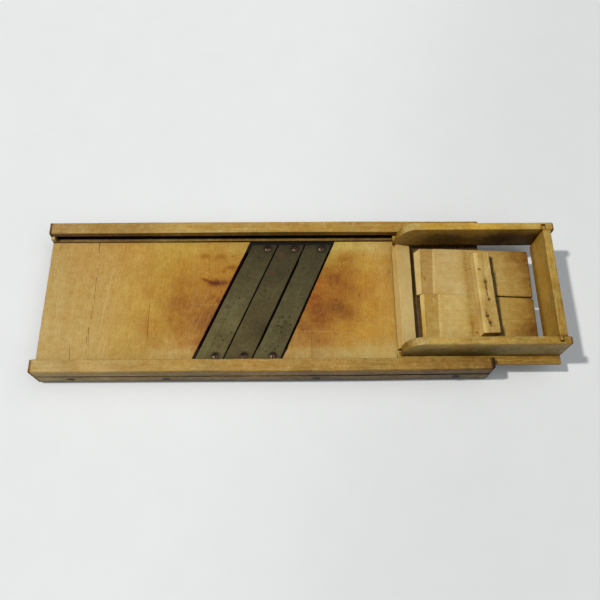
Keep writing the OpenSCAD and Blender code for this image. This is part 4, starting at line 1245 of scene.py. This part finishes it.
def end_board():
    z0, z1 = ELO[2], EHI[2]
    y1 = SIDE_IN - 0.05
    ys = stations(-y1, y1, 3.2, 0.4, 0.4, k=2)
    w1, w2 = line_noise(ys, 20, 111), line_noise(ys, 14, 113)
    rings = []
    for i, y in enumerate(ys):
        c = [(EX0 - 1.45, z0, 0.8), (EX1, z0, 0.8), (EX1, z1, 1.6 + 0.5 * w1[i]), (EX0, z1, 1.3 + 0.5 * w2[i])]
        o = outline(c, seg=4, edges=[3, 14, 4, 14])
        rings.append(np.stack([o[:, 0], np.full(len(o), y), o[:, 1]], 1))
    b = Parts()
    b.add(*loft(rings))
    for s in (-1, 1):
        rg = []
        for y in (y1 - 0.6, y1 + 1.5, y1 + 3.5, y1 + 5.2, y1 + 5.45):
            c = [(EX0 + 0.15, SIDE_B + 0.2, 0.3), (EX0 + 3.9, SIDE_B + 0.2, 0.3), (EX0 + 3.9, z1 - 0.5, 0.5), (EX0 + 0.15, z1 - 0.5, 0.5)]
            o = outline(c, seg=2, edges=[2, 10, 2, 10])
            k = 0.25 if y > y1 + 5.3 else 0.0
            o = o + (o.mean(0) - o) * k * 0.1
            rg.append(np.stack([o[:, 0], np.full(len(o), s * y), o[:, 1]], 1))
        b.add(*loft(rg))
    return b.get()


END_ANCH = [((385, 70, 86), (172, 142, 78)), ((385, 20, 86), (168, 138, 74)), ((385, -30, 86), (160, 132, 70)), ((385, -75, 86), (158, 128, 64)),
            ((379, 40, 60), (196, 156, 72)), ((379, 0, 60), (196, 156, 72)), ((379, -50, 60), (186, 146, 66)), ((391, 0, 60), (140, 112, 60))]


def end_grime(p, n):
    x, y, z = p[:, 0], p[:, 1], p[:, 2]
    w = fbm(p, (4, 6, 4), 15, 3)
    g = 0.3 * np.clip(w + 0.1, 0, 1) * (z > BOX_TOP - 3)
    g = g + 0.4 * smooth(48, 38, z)
    g = g + 0.5 * np.exp(-(SIDE_IN + 0.5 - np.abs(y)) / 2.0) * (np.abs(y) < SIDE_IN)
    return g


END_WOOD = wood("end_wood_old", "y", fibre=0.22, streak=0.2, mottle=0.34, pores=0.6, ring=0.14, speck=0.55, offset=(5, 31, 14))
v, f = end_board()
make("worn_end_board", v, f, END_WOOD, "box", "box_end_board", "box_wood", lambda p, n: tone_field(p, END_ANCH, (0.3, 1, 0.6), 3.0), end_grime, amp=0.2, grain=(5, 30, 5), seed=55)


def crosspiece():
    y1 = SIDE_IN - 0.05
    z0 = CLO[2]
    zr = CHI[2]
    ys = stations(-y1, y1, 2.6, 0.7, 0.7, k=3)
    w1, w2 = line_noise(ys, 24, 121), line_noise(ys, 12, 123)
    nick = np.maximum(0, line_noise(ys, 6, 125) - 0.4) * 3
    rings = []
    for i, y in enumerate(ys):
        d = end_drop(np.array([y]), -y1, y1, 0.7, 0.7)[0]
        c = [(CX0 + 0.15 * w2[i] + 0.15, z0, 0.3), (CX1 - 0.1, z0, 0.6), (CX1 - 0.1, 38.5 - d, 1.0 + 0.3 * w1[i] + min(nick[i], 0.8)),
             (CX0 + 6.2 + 0.3 * w1[i], zr - d, 1.6), (CX0 + 0.15 * w2[i] + 0.15, 34.5, 0.8)]
        o = outline(c, seg=4, edges=[8, 3, 9, 5, 1])
        rings.append(np.stack([o[:, 0], np.full(len(o), y), o[:, 1]], 1))
    return loft(rings)


CROSS_ANCH = [((183, 70, 40), (200, 168, 104)), ((183, 0, 40), (204, 174, 112)), ((183, -70, 40), (202, 170, 108)),
              ((196, 70, 42), (190, 162, 104)), ((196, 20, 42), (194, 166, 108)), ((196, -30, 42), (202, 176, 118)), ((196, -70, 42), (198, 172, 114))]


def cross_grime_and_shade(p, n):
    y, x = p[:, 1], p[:, 0]
    # the low part is painted darker as shade; dark joints at the sides
    return 0.45 * np.exp(-(SIDE_IN + 0.5 - np.abs(y)) / 2.2) + 0.18 * np.exp(-np.abs(x - CX0 - 6.8) / 0.8) + 0.4 * smooth(36, 33, p[:, 2])


CROSS_WOOD = wood("cross_wood_old", "y", fibre=0.12, streak=0.12, mottle=0.2, pores=0.3, ring=0.05, speck=0.28, offset=(15, 2, 24), hue=0.15)
v, f = crosspiece()
# the right face and the low part of the crosspiece are painted near black as shade in the gap before the pusher
make("worn_crosspiece", v, f, CROSS_WOOD, "box", "box_crosspiece", "pale_wood", lambda p, n: tone_field(p, CROSS_ANCH, (0.35, 1, 0.6), 3.0) * np.where((n[:, 0] > 0.6) | (p[:, 2] < 34.2), 0.14, 1.0)[:, None], cross_grime_and_shade, amp=0.18, grain=(5, 30, 5), seed=57)


def runner(front):
    lo, hi = node_box("front_runner" if front else "rear_runner")
    xa, xb = lo[0] - XM, hi[0] - XM
    y0, y1 = (abs(hi[1]), abs(lo[1])) if front else (lo[1], hi[1])
    z0, z1 = lo[2], hi[2]
    xs = stations(xa, xb, 4.0, 0.8, 1.2, k=3)
    w = line_noise(xs, 16, 131 + front)
    rings = []
    for i, x in enumerate(xs):
        d = end_drop(np.array([x]), xa, xb, 0.8, 1.2)[0]
        c = [(y0 + d, z0, 0.6), (y1 - d, z0, 0.9), (y1 - d, z1 - d, 1.2 + 0.4 * w[i]), (y0 + d, z1 - d, 0.6)]
        o = outline(c, seg=4, edges=[6, 2, 6, 2])
        rings.append(np.stack([np.full(len(o), x), o[:, 0] * (-1 if front else 1), o[:, 1]], 1))
    return loft(rings)


def runner_grime(p, n):
    y = np.abs(p[:, 1])
    g = 0.8 * smooth(SIDE_OUT + 1.2, SIDE_OUT - 0.6, y) * smooth(SX0 - 4.6, SX0 - 3.0, p[:, 0])
    return g + 0.15


RUN_WOOD = wood("runner_wood_old", "x", fibre=0.3, streak=0.3, mottle=0.3, pores=0.6, offset=(7, 51, 4))
for front in (False, True):
    nm = "front_runner" if front else "rear_runner"
    v, f = runner(front)
    tone = [((190, 90, 38), (180, 156, 102)), ((330, 95, 38), (160, 132, 72)), ((390, 95, 38), (156, 126, 66))]
    if front:
        tone = [((x, -y, z), c) for (x, y, z), c in tone]
    make("worn_" + nm, v, f, RUN_WOOD, "box", nm, "pale_wood", lambda p, n, tone=tone: tone_field(p, tone), runner_grime, amp=0.15, grain=(30, 4, 4), seed=59 + front)

END_NAIL_X = EX1 - 5.2
b = Parts()
for s in (1, -1):
    for k, z in enumerate((73, 58)):
        nv, nf = nail_shape(30, 1.1, 1.75, seed=3 + k + s, dome=0.22)
        b.add(place(nv, (END_NAIL_X, s * (SIDE_OUT - 0.1), z), "+y" if s > 0 else "-y"), nf)
v, f = b.get()
make("end_nails", v, f, BRIGHT_IRON, "box", "end_board_nails", "old_iron", amp=0.0)
b = Parts()
for s in (1, -1):
    nv, nf = nail_shape(28, 1.1, 1.7, seed=9 + s, dome=0.15)
    b.add(place(nv, (SX0 + 8, s * (SIDE_OUT - 0.1), SIDE_B + 3.4), "+y" if s > 0 else "-y"), nf)
v, f = b.get()
make("cross_nails", v, f, DARK_IRON, "box", "crosspiece_nails", "old_iron", amp=0.0)
b = Parts()
for s in (1, -1):
    for k, dx in enumerate((22, 78, 134, 186)):
        nv, nf = nail_shape(25, 1.1, 1.7, seed=11 + k + s, dome=0.1)
        b.add(place(nv, (SX0 + dx, s * (SIDE_IN + (SIDE_OUT - SIDE_IN) / 2 + 0.8), 32.25), "-z"), nf)
v, f = b.get()
make("underside_nails", v, f, DARK_IRON, "box", "runner_nails", "old_iron", amp=0.0)


# ----------------------------------------------------------------- pusher --
SKEW_R, SKEW_F = 0.0393, 0.0535      # the seam runs askew and opens to the right


def seam_r(u):
    return 2.1 - SKEW_R * u


def seam_f(u):
    return 1.75 - SKEW_F * (u - 2.5)


def push_board(front):
    """Profile along X, lofted across the board, then laid into its skewed plan.
    u is measured from the left end of the pusher."""
    dx, foot = (2.5, 1.9) if front else (0.0, 0.0)
    length = PX1 - PX0
    width = 66.0 if front else 70.0
    ys = stations(0, width, 2.2, 1.2, 1.2, k=4)
    w1, w2, w3 = line_noise(ys, 18, 141 + front), line_noise(ys, 9, 143 + front), line_noise(ys, 30, 147 + front)
    nick = np.maximum(0, line_noise(ys, 5, 149 + front) - 0.4) * 3
    rings = []
    for i, t in enumerate(ys):
        d = end_drop(np.array([t]), 0, width, 0.35, 1.2)[0]
        top = PUSH_Z - d
        q = t / width                    # 0 at the seam, 1 at the outer edge
        bev = (9.6 - 2.4 * q if front else 6.2 + 2.4 * q) + 0.2 * w1[i]
        ramp = (30.0 - 2.8 * q if front else 23.6 + 4.2 * q) + 0.4 * w3[i]
        right = (length - 1.2 - 1.1 * q if front else length - 1.2 + 1.1 * q) - 0.1
        corner = 2.6 * max(0.0, (t - (width - 3.0)) / 3.0) ** 2
        corner += 1.2 * max(0.0, (2.0 - t) / 2.0) ** 2
        c = [(dx + foot + 2.4, PUSH_B + min(d, 0.6), 0.4), (right - corner, PUSH_B + min(d, 0.6), 1.5), (right - corner, top, 2.4 + 0.5 * w1[i] + min(nick[i], 1.5)),
             (ramp + 1.6, top, 1.3), (ramp - 1.6, top - 1.1, 0.9), (bev, top - 1.0, 0.7), (dx + foot + 0.2 * w2[i] + 0.15, PUSH_B + 4.6, 0.5)]
        o = outline(c, seg=4, edges=[12, 4, 48, 2, 8, 7, 3])
        x, z = o[:, 0], o[:, 1]
        if front:
            # left of the cleat the two boards still touch
            free = smooth(84, 100, x)
            edge = (seam_r(x) - 0.05) * (1 - free) + (seam_f(x) - 0.04) * free
            y = edge - q * (edge - seam_f(x) + width)
        else:
            edge = np.where(x < 8.5, seam_r(0) + width - 5.2 + (seam_r(8.5) + 5.2 - seam_r(0)) * np.clip(x / 8.5, 0, 1), seam_r(x) + width)
            y = seam_r(x) + 0.04 + (edge - seam_r(x) - 0.08) * q
        rings.append(np.stack([PX0 + x, y, z], 1))
    return loft(rings)


def push_tone(front):
    s = -1 if front else 1
    a = [((246, 50 * s, 42), (184, 154, 96)), ((246, 15 * s, 42), (184, 154, 94)),
         ((270, 45 * s, 42), (188, 160, 102)), ((270, 10 * s, 42), (186, 158, 100)), ((285, 35 * s, 42), (174, 144, 84)), ((285, 5 * s, 42), (176, 146, 86)),
         ((325, 50 * s, 42), (166, 134, 72)), ((325, 15 * s, 42), (170, 140, 76)), ((345, 35 * s, 42), (156, 122, 58)), ((366, 50 * s, 42), (138, 102, 42)), ((366, 15 * s, 42), (138, 102, 40)), ((352, 6 * s, 42), (158, 124, 60)), ((352, 62 * s, 42), (140, 106, 46))]

    def f(p, n):
        c = tone_field(p, a, (0.8, 1.2, 2), 3.4)
        q = np.clip(np.abs(p[:, 1]) / 68.0, 0, 1)
        u = p[:, 0] - PX0
        bev_at = 9.6 - 2.4 * q if front else 6.2 + 2.4 * q
        ramp_at = 30.0 - 2.8 * q if front else 23.6 + 4.2 * q
        strip = lin((168, 136, 72) if front else (166, 132, 72))
        k = (smooth(ramp_at - 0.9, ramp_at - 2.0, u) * smooth(bev_at - 0.6, bev_at + 0.2, u))[:, None]
        c = c * (1 - k) + strip * k
        # painted light: the left-facing ramp and bevel are painted lighter, as lit faces
        k = (smooth(2.2, 0.6, np.abs(u - ramp_at)))[:, None]
        c = c * (1 - k) + lin((194, 164, 104)) * k
        k = (smooth(bev_at + 0.5, bev_at - 0.3, u) * (p[:, 2] > PUSH_B + 4.4))[:, None]
        c = c * (1 - k) + lin((222, 192, 130) if front else (200, 172, 114)) * k
        # painted shadow of the cleat on the board, right of the cleat
        cleat_shadow_x = 316.0 + (-p[:, 1]) * math.tan(math.radians(1.9))
        k = (smooth(cleat_shadow_x - 4.0, cleat_shadow_x - 2.5, p[:, 0]) * smooth(cleat_shadow_x + 6.4, cleat_shadow_x + 5.4, p[:, 0]) * (np.abs(p[:, 1] + 3.0) < 58.5))[:, None]
        c = c * (1 - 0.72 * k)
        # the lowest 4.3 mm of the board, the foot face at the left end included, are painted near black as shade
        low_shade = (p[:, 2] < PUSH_B + 4.3)[:, None]
        under = (p[:, 2] < PUSH_B + 0.6)[:, None]
        c = np.where(low_shade, c * np.array([0.10, 0.085, 0.07]) if not front else c * np.array([0.10, 0.085, 0.07]), c)
        return np.where(under, lin((70, 54, 30)), c)
    return f


def push_grime(front):
    s = -1 if front else 1

    def f(p, n):
        x, y, z = p[:, 0], p[:, 1], p[:, 2]
        w = fbm(p, (8, 4, 8), 23 + front, 3)
        g = 0.20 * np.exp(-np.abs(x - 281) / 3.5) * (1 + w)                      # dirt line left of the cleat
        edge = smooth(24, 66, np.abs(y)) * smooth(330, 372, x)
        g = g + (0.30 if front else 0.14) * edge * (1 + w) + 0.4 * np.exp(-(PX1 - x) / 5.0) * smooth(-0.3, 0.5, w)
        u = x - PX0
        seam = np.abs(y - (seam_f(u) if front else seam_r(u)))
        g = g + 0.22 * np.exp(-seam / 0.8) * smooth(295, 315, x) + 0.04 * np.exp(-seam / 0.6)
        g = g + 0.16 * np.exp(-np.abs(x - PX0 - (9.0 if front else 8.0)) / 0.7)
        return g
    return f


PUSH_WOOD = wood("pusher_wood_old", "x", fibre=0.10, streak=0.09, mottle=0.34, pores=0.28, ring=0.04, speck=0.38, scratch=0.10, ends=0.35, hue=0.35, offset=(61, 4, 4),
                 spots=[(286.5, 38.5, 1.0, 3.2, 20, 0.9), (281, 36, 1.6, 5, 80, 0.45), (223, 24, 2.2, 6, 10, 0.3), (282, 55, 2.6, 10, 0, 0.16)],
                 strokes=[(252, 62, 290, 58, 0.4, 0.2), (236, 20, 233.5, 4, 0.7, 0.5)])
PUSH_WOOD_2 = wood("pusher_wood_front", "x", fibre=0.10, streak=0.09, mottle=0.34, pores=0.28, ring=0.04, speck=0.38, scratch=0.10, ends=0.35, hue=0.35, offset=(13, 44, 8),
                   spots=[(287.0, -55.8, 1.5, 1.9, 0, 1.8), (279, -55.2, 0.7, 9, 92, 0.9), (282, -48, 2.6, 9, 0, 0.25)],
                   strokes=[(232.2, -3.6, 233.6, -12, 0.8, 0.8), (235, -6, 234.5, -11, 0.6, 0.6)])
for front in (False, True):
    nm = "pusher_front_board" if front else "pusher_rear_board"
    v, f = push_board(front)
    make("worn_" + nm, v, f, PUSH_WOOD_2 if front else PUSH_WOOD, "pusher", nm, "pusher_wood", push_tone(front), push_grime(front), amp=0.22, grain=(26, 6, 6), seed=61 + front, hold=lambda v, front=front: smooth(0.3, 3.0, np.abs(v[:, 1] - (seam_f(v[:, 0] - PX0) if front else seam_r(v[:, 0] - PX0)))))


CLEAT_X, CLEAT_Y = CX0 + 122.3, -1.75


def cleat():
    hl = 119.5 / 2
    z0, z1 = PUSH_Z, CLEAT_TOP
    ys = stations(-hl, hl, 2.0, 0.8, 0.8, k=4)
    w1, w2 = line_noise(ys, 16, 151), line_noise(ys, 10, 153)
    nick = np.maximum(0, line_noise(ys, 5, 155) - 0.42) * 3
    ll, lr = math.radians(0.9), math.radians(1.9)      # the two long sides are not parallel
    rings = []
    for i, y in enumerate(ys):
        d = end_drop(np.array([y]), -hl, hl, 0.8, 0.8)[0]
        a, b = -y * math.tan(ll), -y * math.tan(lr)
        c = [(-13.1 + a + d, z0, 0.3), (11.4 + b - d, z0, 0.3), (10.5 + b - d, z1 - d, 0.9 + 0.3 * w1[i] + min(nick[i], 0.8)), (-11.15 + a + d + 0.15 * w2[i], z1 - d, 0.9 + 0.3 * w2[i])]
        o = outline(c, seg=4, edges=[7, 6, 12, 7])
        m = math.tan(lr) * o[:, 0]
        rings.append(np.stack([CLEAT_X + o[:, 0], CLEAT_Y + m + y, o[:, 1]], 1))
    v, f = loft(rings)
    # drying cracks between the nails
    cutters = []
    for pts, wd in (([(302.2, 12.0), (302.3, 4.0), (302.8, -4.0), (303.5, -12.0)], (0.10, 0.26, 0.28, 0.12)),
                    ([(299.0, -38.5), (299.9, -42.0), (301.0, -46.0)], (0.1, 0.34, 0.1)), ([(298.3, -28.5), (298.4, -33.0), (298.6, -37.0)], (0.06, 0.16, 0.1))):
        rg = [np.array([(x - w, y, z1 + 1), (x + w, y, z1 + 1), (x + 0.05, y, z1 - 2.0), (x - 0.05, y, z1 - 2.0)]) for (x, y), w in zip(pts, wd)]
        cutters.append(loft(rg))
    return cut(v, f, cutters)


# the anchors near x = 289 paint the left face lighter as painted light
CLEAT_ANCH = [((301, 50, 57), (172, 142, 82)), ((302, 10, 57), (168, 138, 80)), ((302, -25, 57), (170, 140, 82)), ((303, -58, 57), (172, 140, 82)), ((288.5, 50, 50), (222, 194, 134)), ((289, 0, 50), (224, 196, 136)), ((289.5, -55, 50), (222, 192, 132))]
NAILS = [(296.1, 31.5), (302.3, 13.1), (304.3, -13.3), (299.1, -37.3), (302.2, -47.3)]


def cleat_grime_and_shade(p, n):
    x, y, z = p[:, 0], p[:, 1], p[:, 2]
    w = fbm(p, (4, 4, 4), 29, 3)
    g = np.zeros(len(p))
    # the right and front faces are painted darker as shade
    g = g + 0.15 * np.clip(w, 0, 1) + 0.7 * (n[:, 0] > 0.6) + 0.5 * (n[:, 1] < -0.6)
    g = g + 0.5 * smooth(CLEAT_TOP - 1.0, CLEAT_TOP - 2.2, z) * (np.hypot(x - 302.8, y * 0.1) < 2.2)
    return g


CLEAT_WOOD = wood("cleat_wood_old", "y", fibre=0.24, streak=0.24, mottle=0.28, pores=0.5, ring=0.08, speck=0.4, offset=(71, 14, 2), hue=0.2,
                  spots=[(296.1, 31.5, 4.0, 4.6, 0, 0.4), (302.3, 13.1, 4.0, 6.4, -8, 0.5), (304.3, -13.3, 4.0, 5.4, 10, 0.4), (299.1, -37.3, 4.0, 6.4, -14, 0.5), (302.2, -47.3, 4.0, 6.6, -10, 0.5)],
                  strokes=[(296.0, 30.4, 296.2, 32.6, 2.2, -1.3), (302.4, 11.0, 302.2, 15.2, 2.3, -1.4), (302.1, 14.8, 301.8, 19.0, 0.8, -0.9), (304.3, -14.6, 304.3, -11.8, 2.2, -1.3), (299.3, -39.2, 298.8, -35.4, 2.3, -1.4), (298.7, -35.4, 298.3, -30.5, 0.8, -0.9),
                           (302.5, -49.4, 301.9, -45.2, 2.3, -1.4), (302.6, -49.4, 303.2, -53.6, 0.8, -0.9), (301.8, -45.4, 301.0, -42.4, 0.7, -0.8), (302.6, 9.5, 303.2, -10.0, 0.35, -0.6)])
v, f = cleat()
make("worn_cleat", v, f, CLEAT_WOOD, "pusher", "pusher_cleat", "pale_wood", lambda p, n: tone_field(p, CLEAT_ANCH, (0.5, 1, 0.6), 3.0), cleat_grime_and_shade, amp=0.18, grain=(5, 24, 5), seed=65)
b = Parts()
for k, (nx, ny) in enumerate(NAILS):
    nv, nf = nail_shape(23.5, 1.1, 1.7, seed=31 + k, dome=0.0)
    b.add(place(nv, (nx, ny, CLEAT_TOP - 0.12), "+z"), nf)
v, f = b.get()
make("clinched_cleat_nails", v, f, DARK_IRON, "pusher", "cleat_nails", "old_iron", amp=0.0)


# ------------------------------------------------------------------ stage --
fm = bpy.data.materials.new("floor_paper")
t = Tree(fm)
fc = t.new("ShaderNodeTexCoord").outputs["Object"]
fn = t.noise(fc, 18.0, 3.0, 0.6)
paper = t.mix(t.step(fn, 0.2, 0.8), (0.785, 0.79, 0.79, 1), (0.80, 0.805, 0.805, 1))
fs = t.new("ShaderNodeSeparateXYZ")
t.put(fs.inputs[0], fc)
# the sheet gets a little darker towards the front right
far = t.step(t.math("MULTIPLY_ADD", t.math("SUBTRACT", fs.outputs[1], 0.1), -0.3, fs.outputs[0]), -0.1, 0.35)
paper = t.mix(t.math("MULTIPLY", far, 0.12), paper, (0.0, 0.0, 0.0, 1))
# and is painted near black under the board, a painted shade where the board always lies on it
under = t.math("MULTIPLY", t.step(t.math("ABSOLUTE", fs.outputs[1]), 0.101, 0.094), t.step(t.math("ABSOLUTE", t.math("SUBTRACT", fs.outputs[0], XM / 1000.0)), 0.296, 0.284))
paper = t.mix(t.math("MULTIPLY", under, 0.95), paper, (0.008, 0.006, 0.004, 1))
t.finish(paper, 0.85, spec=0.1)
me = bpy.data.meshes.new("floor")
me.from_pydata([(-60, -60, 0), (60, -60, 0), (60, 60, 0), (-60, 60, 0)], [], [(0, 1, 2, 3)])
me.materials.append(fm)
fo = bpy.data.objects.new("floor", me)
bpy.context.scene.collection.objects.link(fo)

sun = bpy.data.lights.new("key", "SUN")
sun.energy = 2.24
sun.angle = math.radians(3.2)
sun.color = (1.0, 0.985, 0.95)
so = bpy.data.objects.new("key", sun)
bpy.context.scene.collection.objects.link(so)
el, az = math.radians(58.0), math.radians(-1.0)
d = Vector((-math.cos(el) * math.cos(az), math.cos(el) * math.sin(az), math.sin(el)))
so.rotation_euler = d.to_track_quat("Z", "Y").to_euler()

world = bpy.data.worlds.new("soft_sky")
bpy.context.scene.world = world
world.use_nodes = True
w = world.node_tree
w.nodes.clear()
wt = Tree.__new__(Tree)
wt.t = w
gen = wt.new("ShaderNodeTexCoord").outputs["Generated"]
up = wt.vec("DOT_PRODUCT", gen, (0.36, -0.12, 0.925))
bg = wt.new("ShaderNodeBackground")
bg.inputs["Color"].default_value = (0.92, 0.97, 1.0, 1)
wt.put(bg.inputs["Strength"], wt.step(up, 0.55, 0.98, 0.0, 1.20))
out = wt.new("ShaderNodeOutputWorld")
w.links.new(bg.outputs[0], out.inputs[0])
bpy.context.scene.view_settings.view_transform = "Standard"

cam = bpy.data.cameras.new("camera")
cob = bpy.data.objects.new("camera", cam)
bpy.context.scene.collection.objects.link(cob)
cob.location = (0.001172, -0.367586, 0.891712)
cob.rotation_euler = Euler([math.radians(q) for q in (22.9853, -0.0438, -0.3210)], "XYZ")
cam.sensor_width = 36
cam.lens = 40.4831
bpy.context.scene.camera = cob
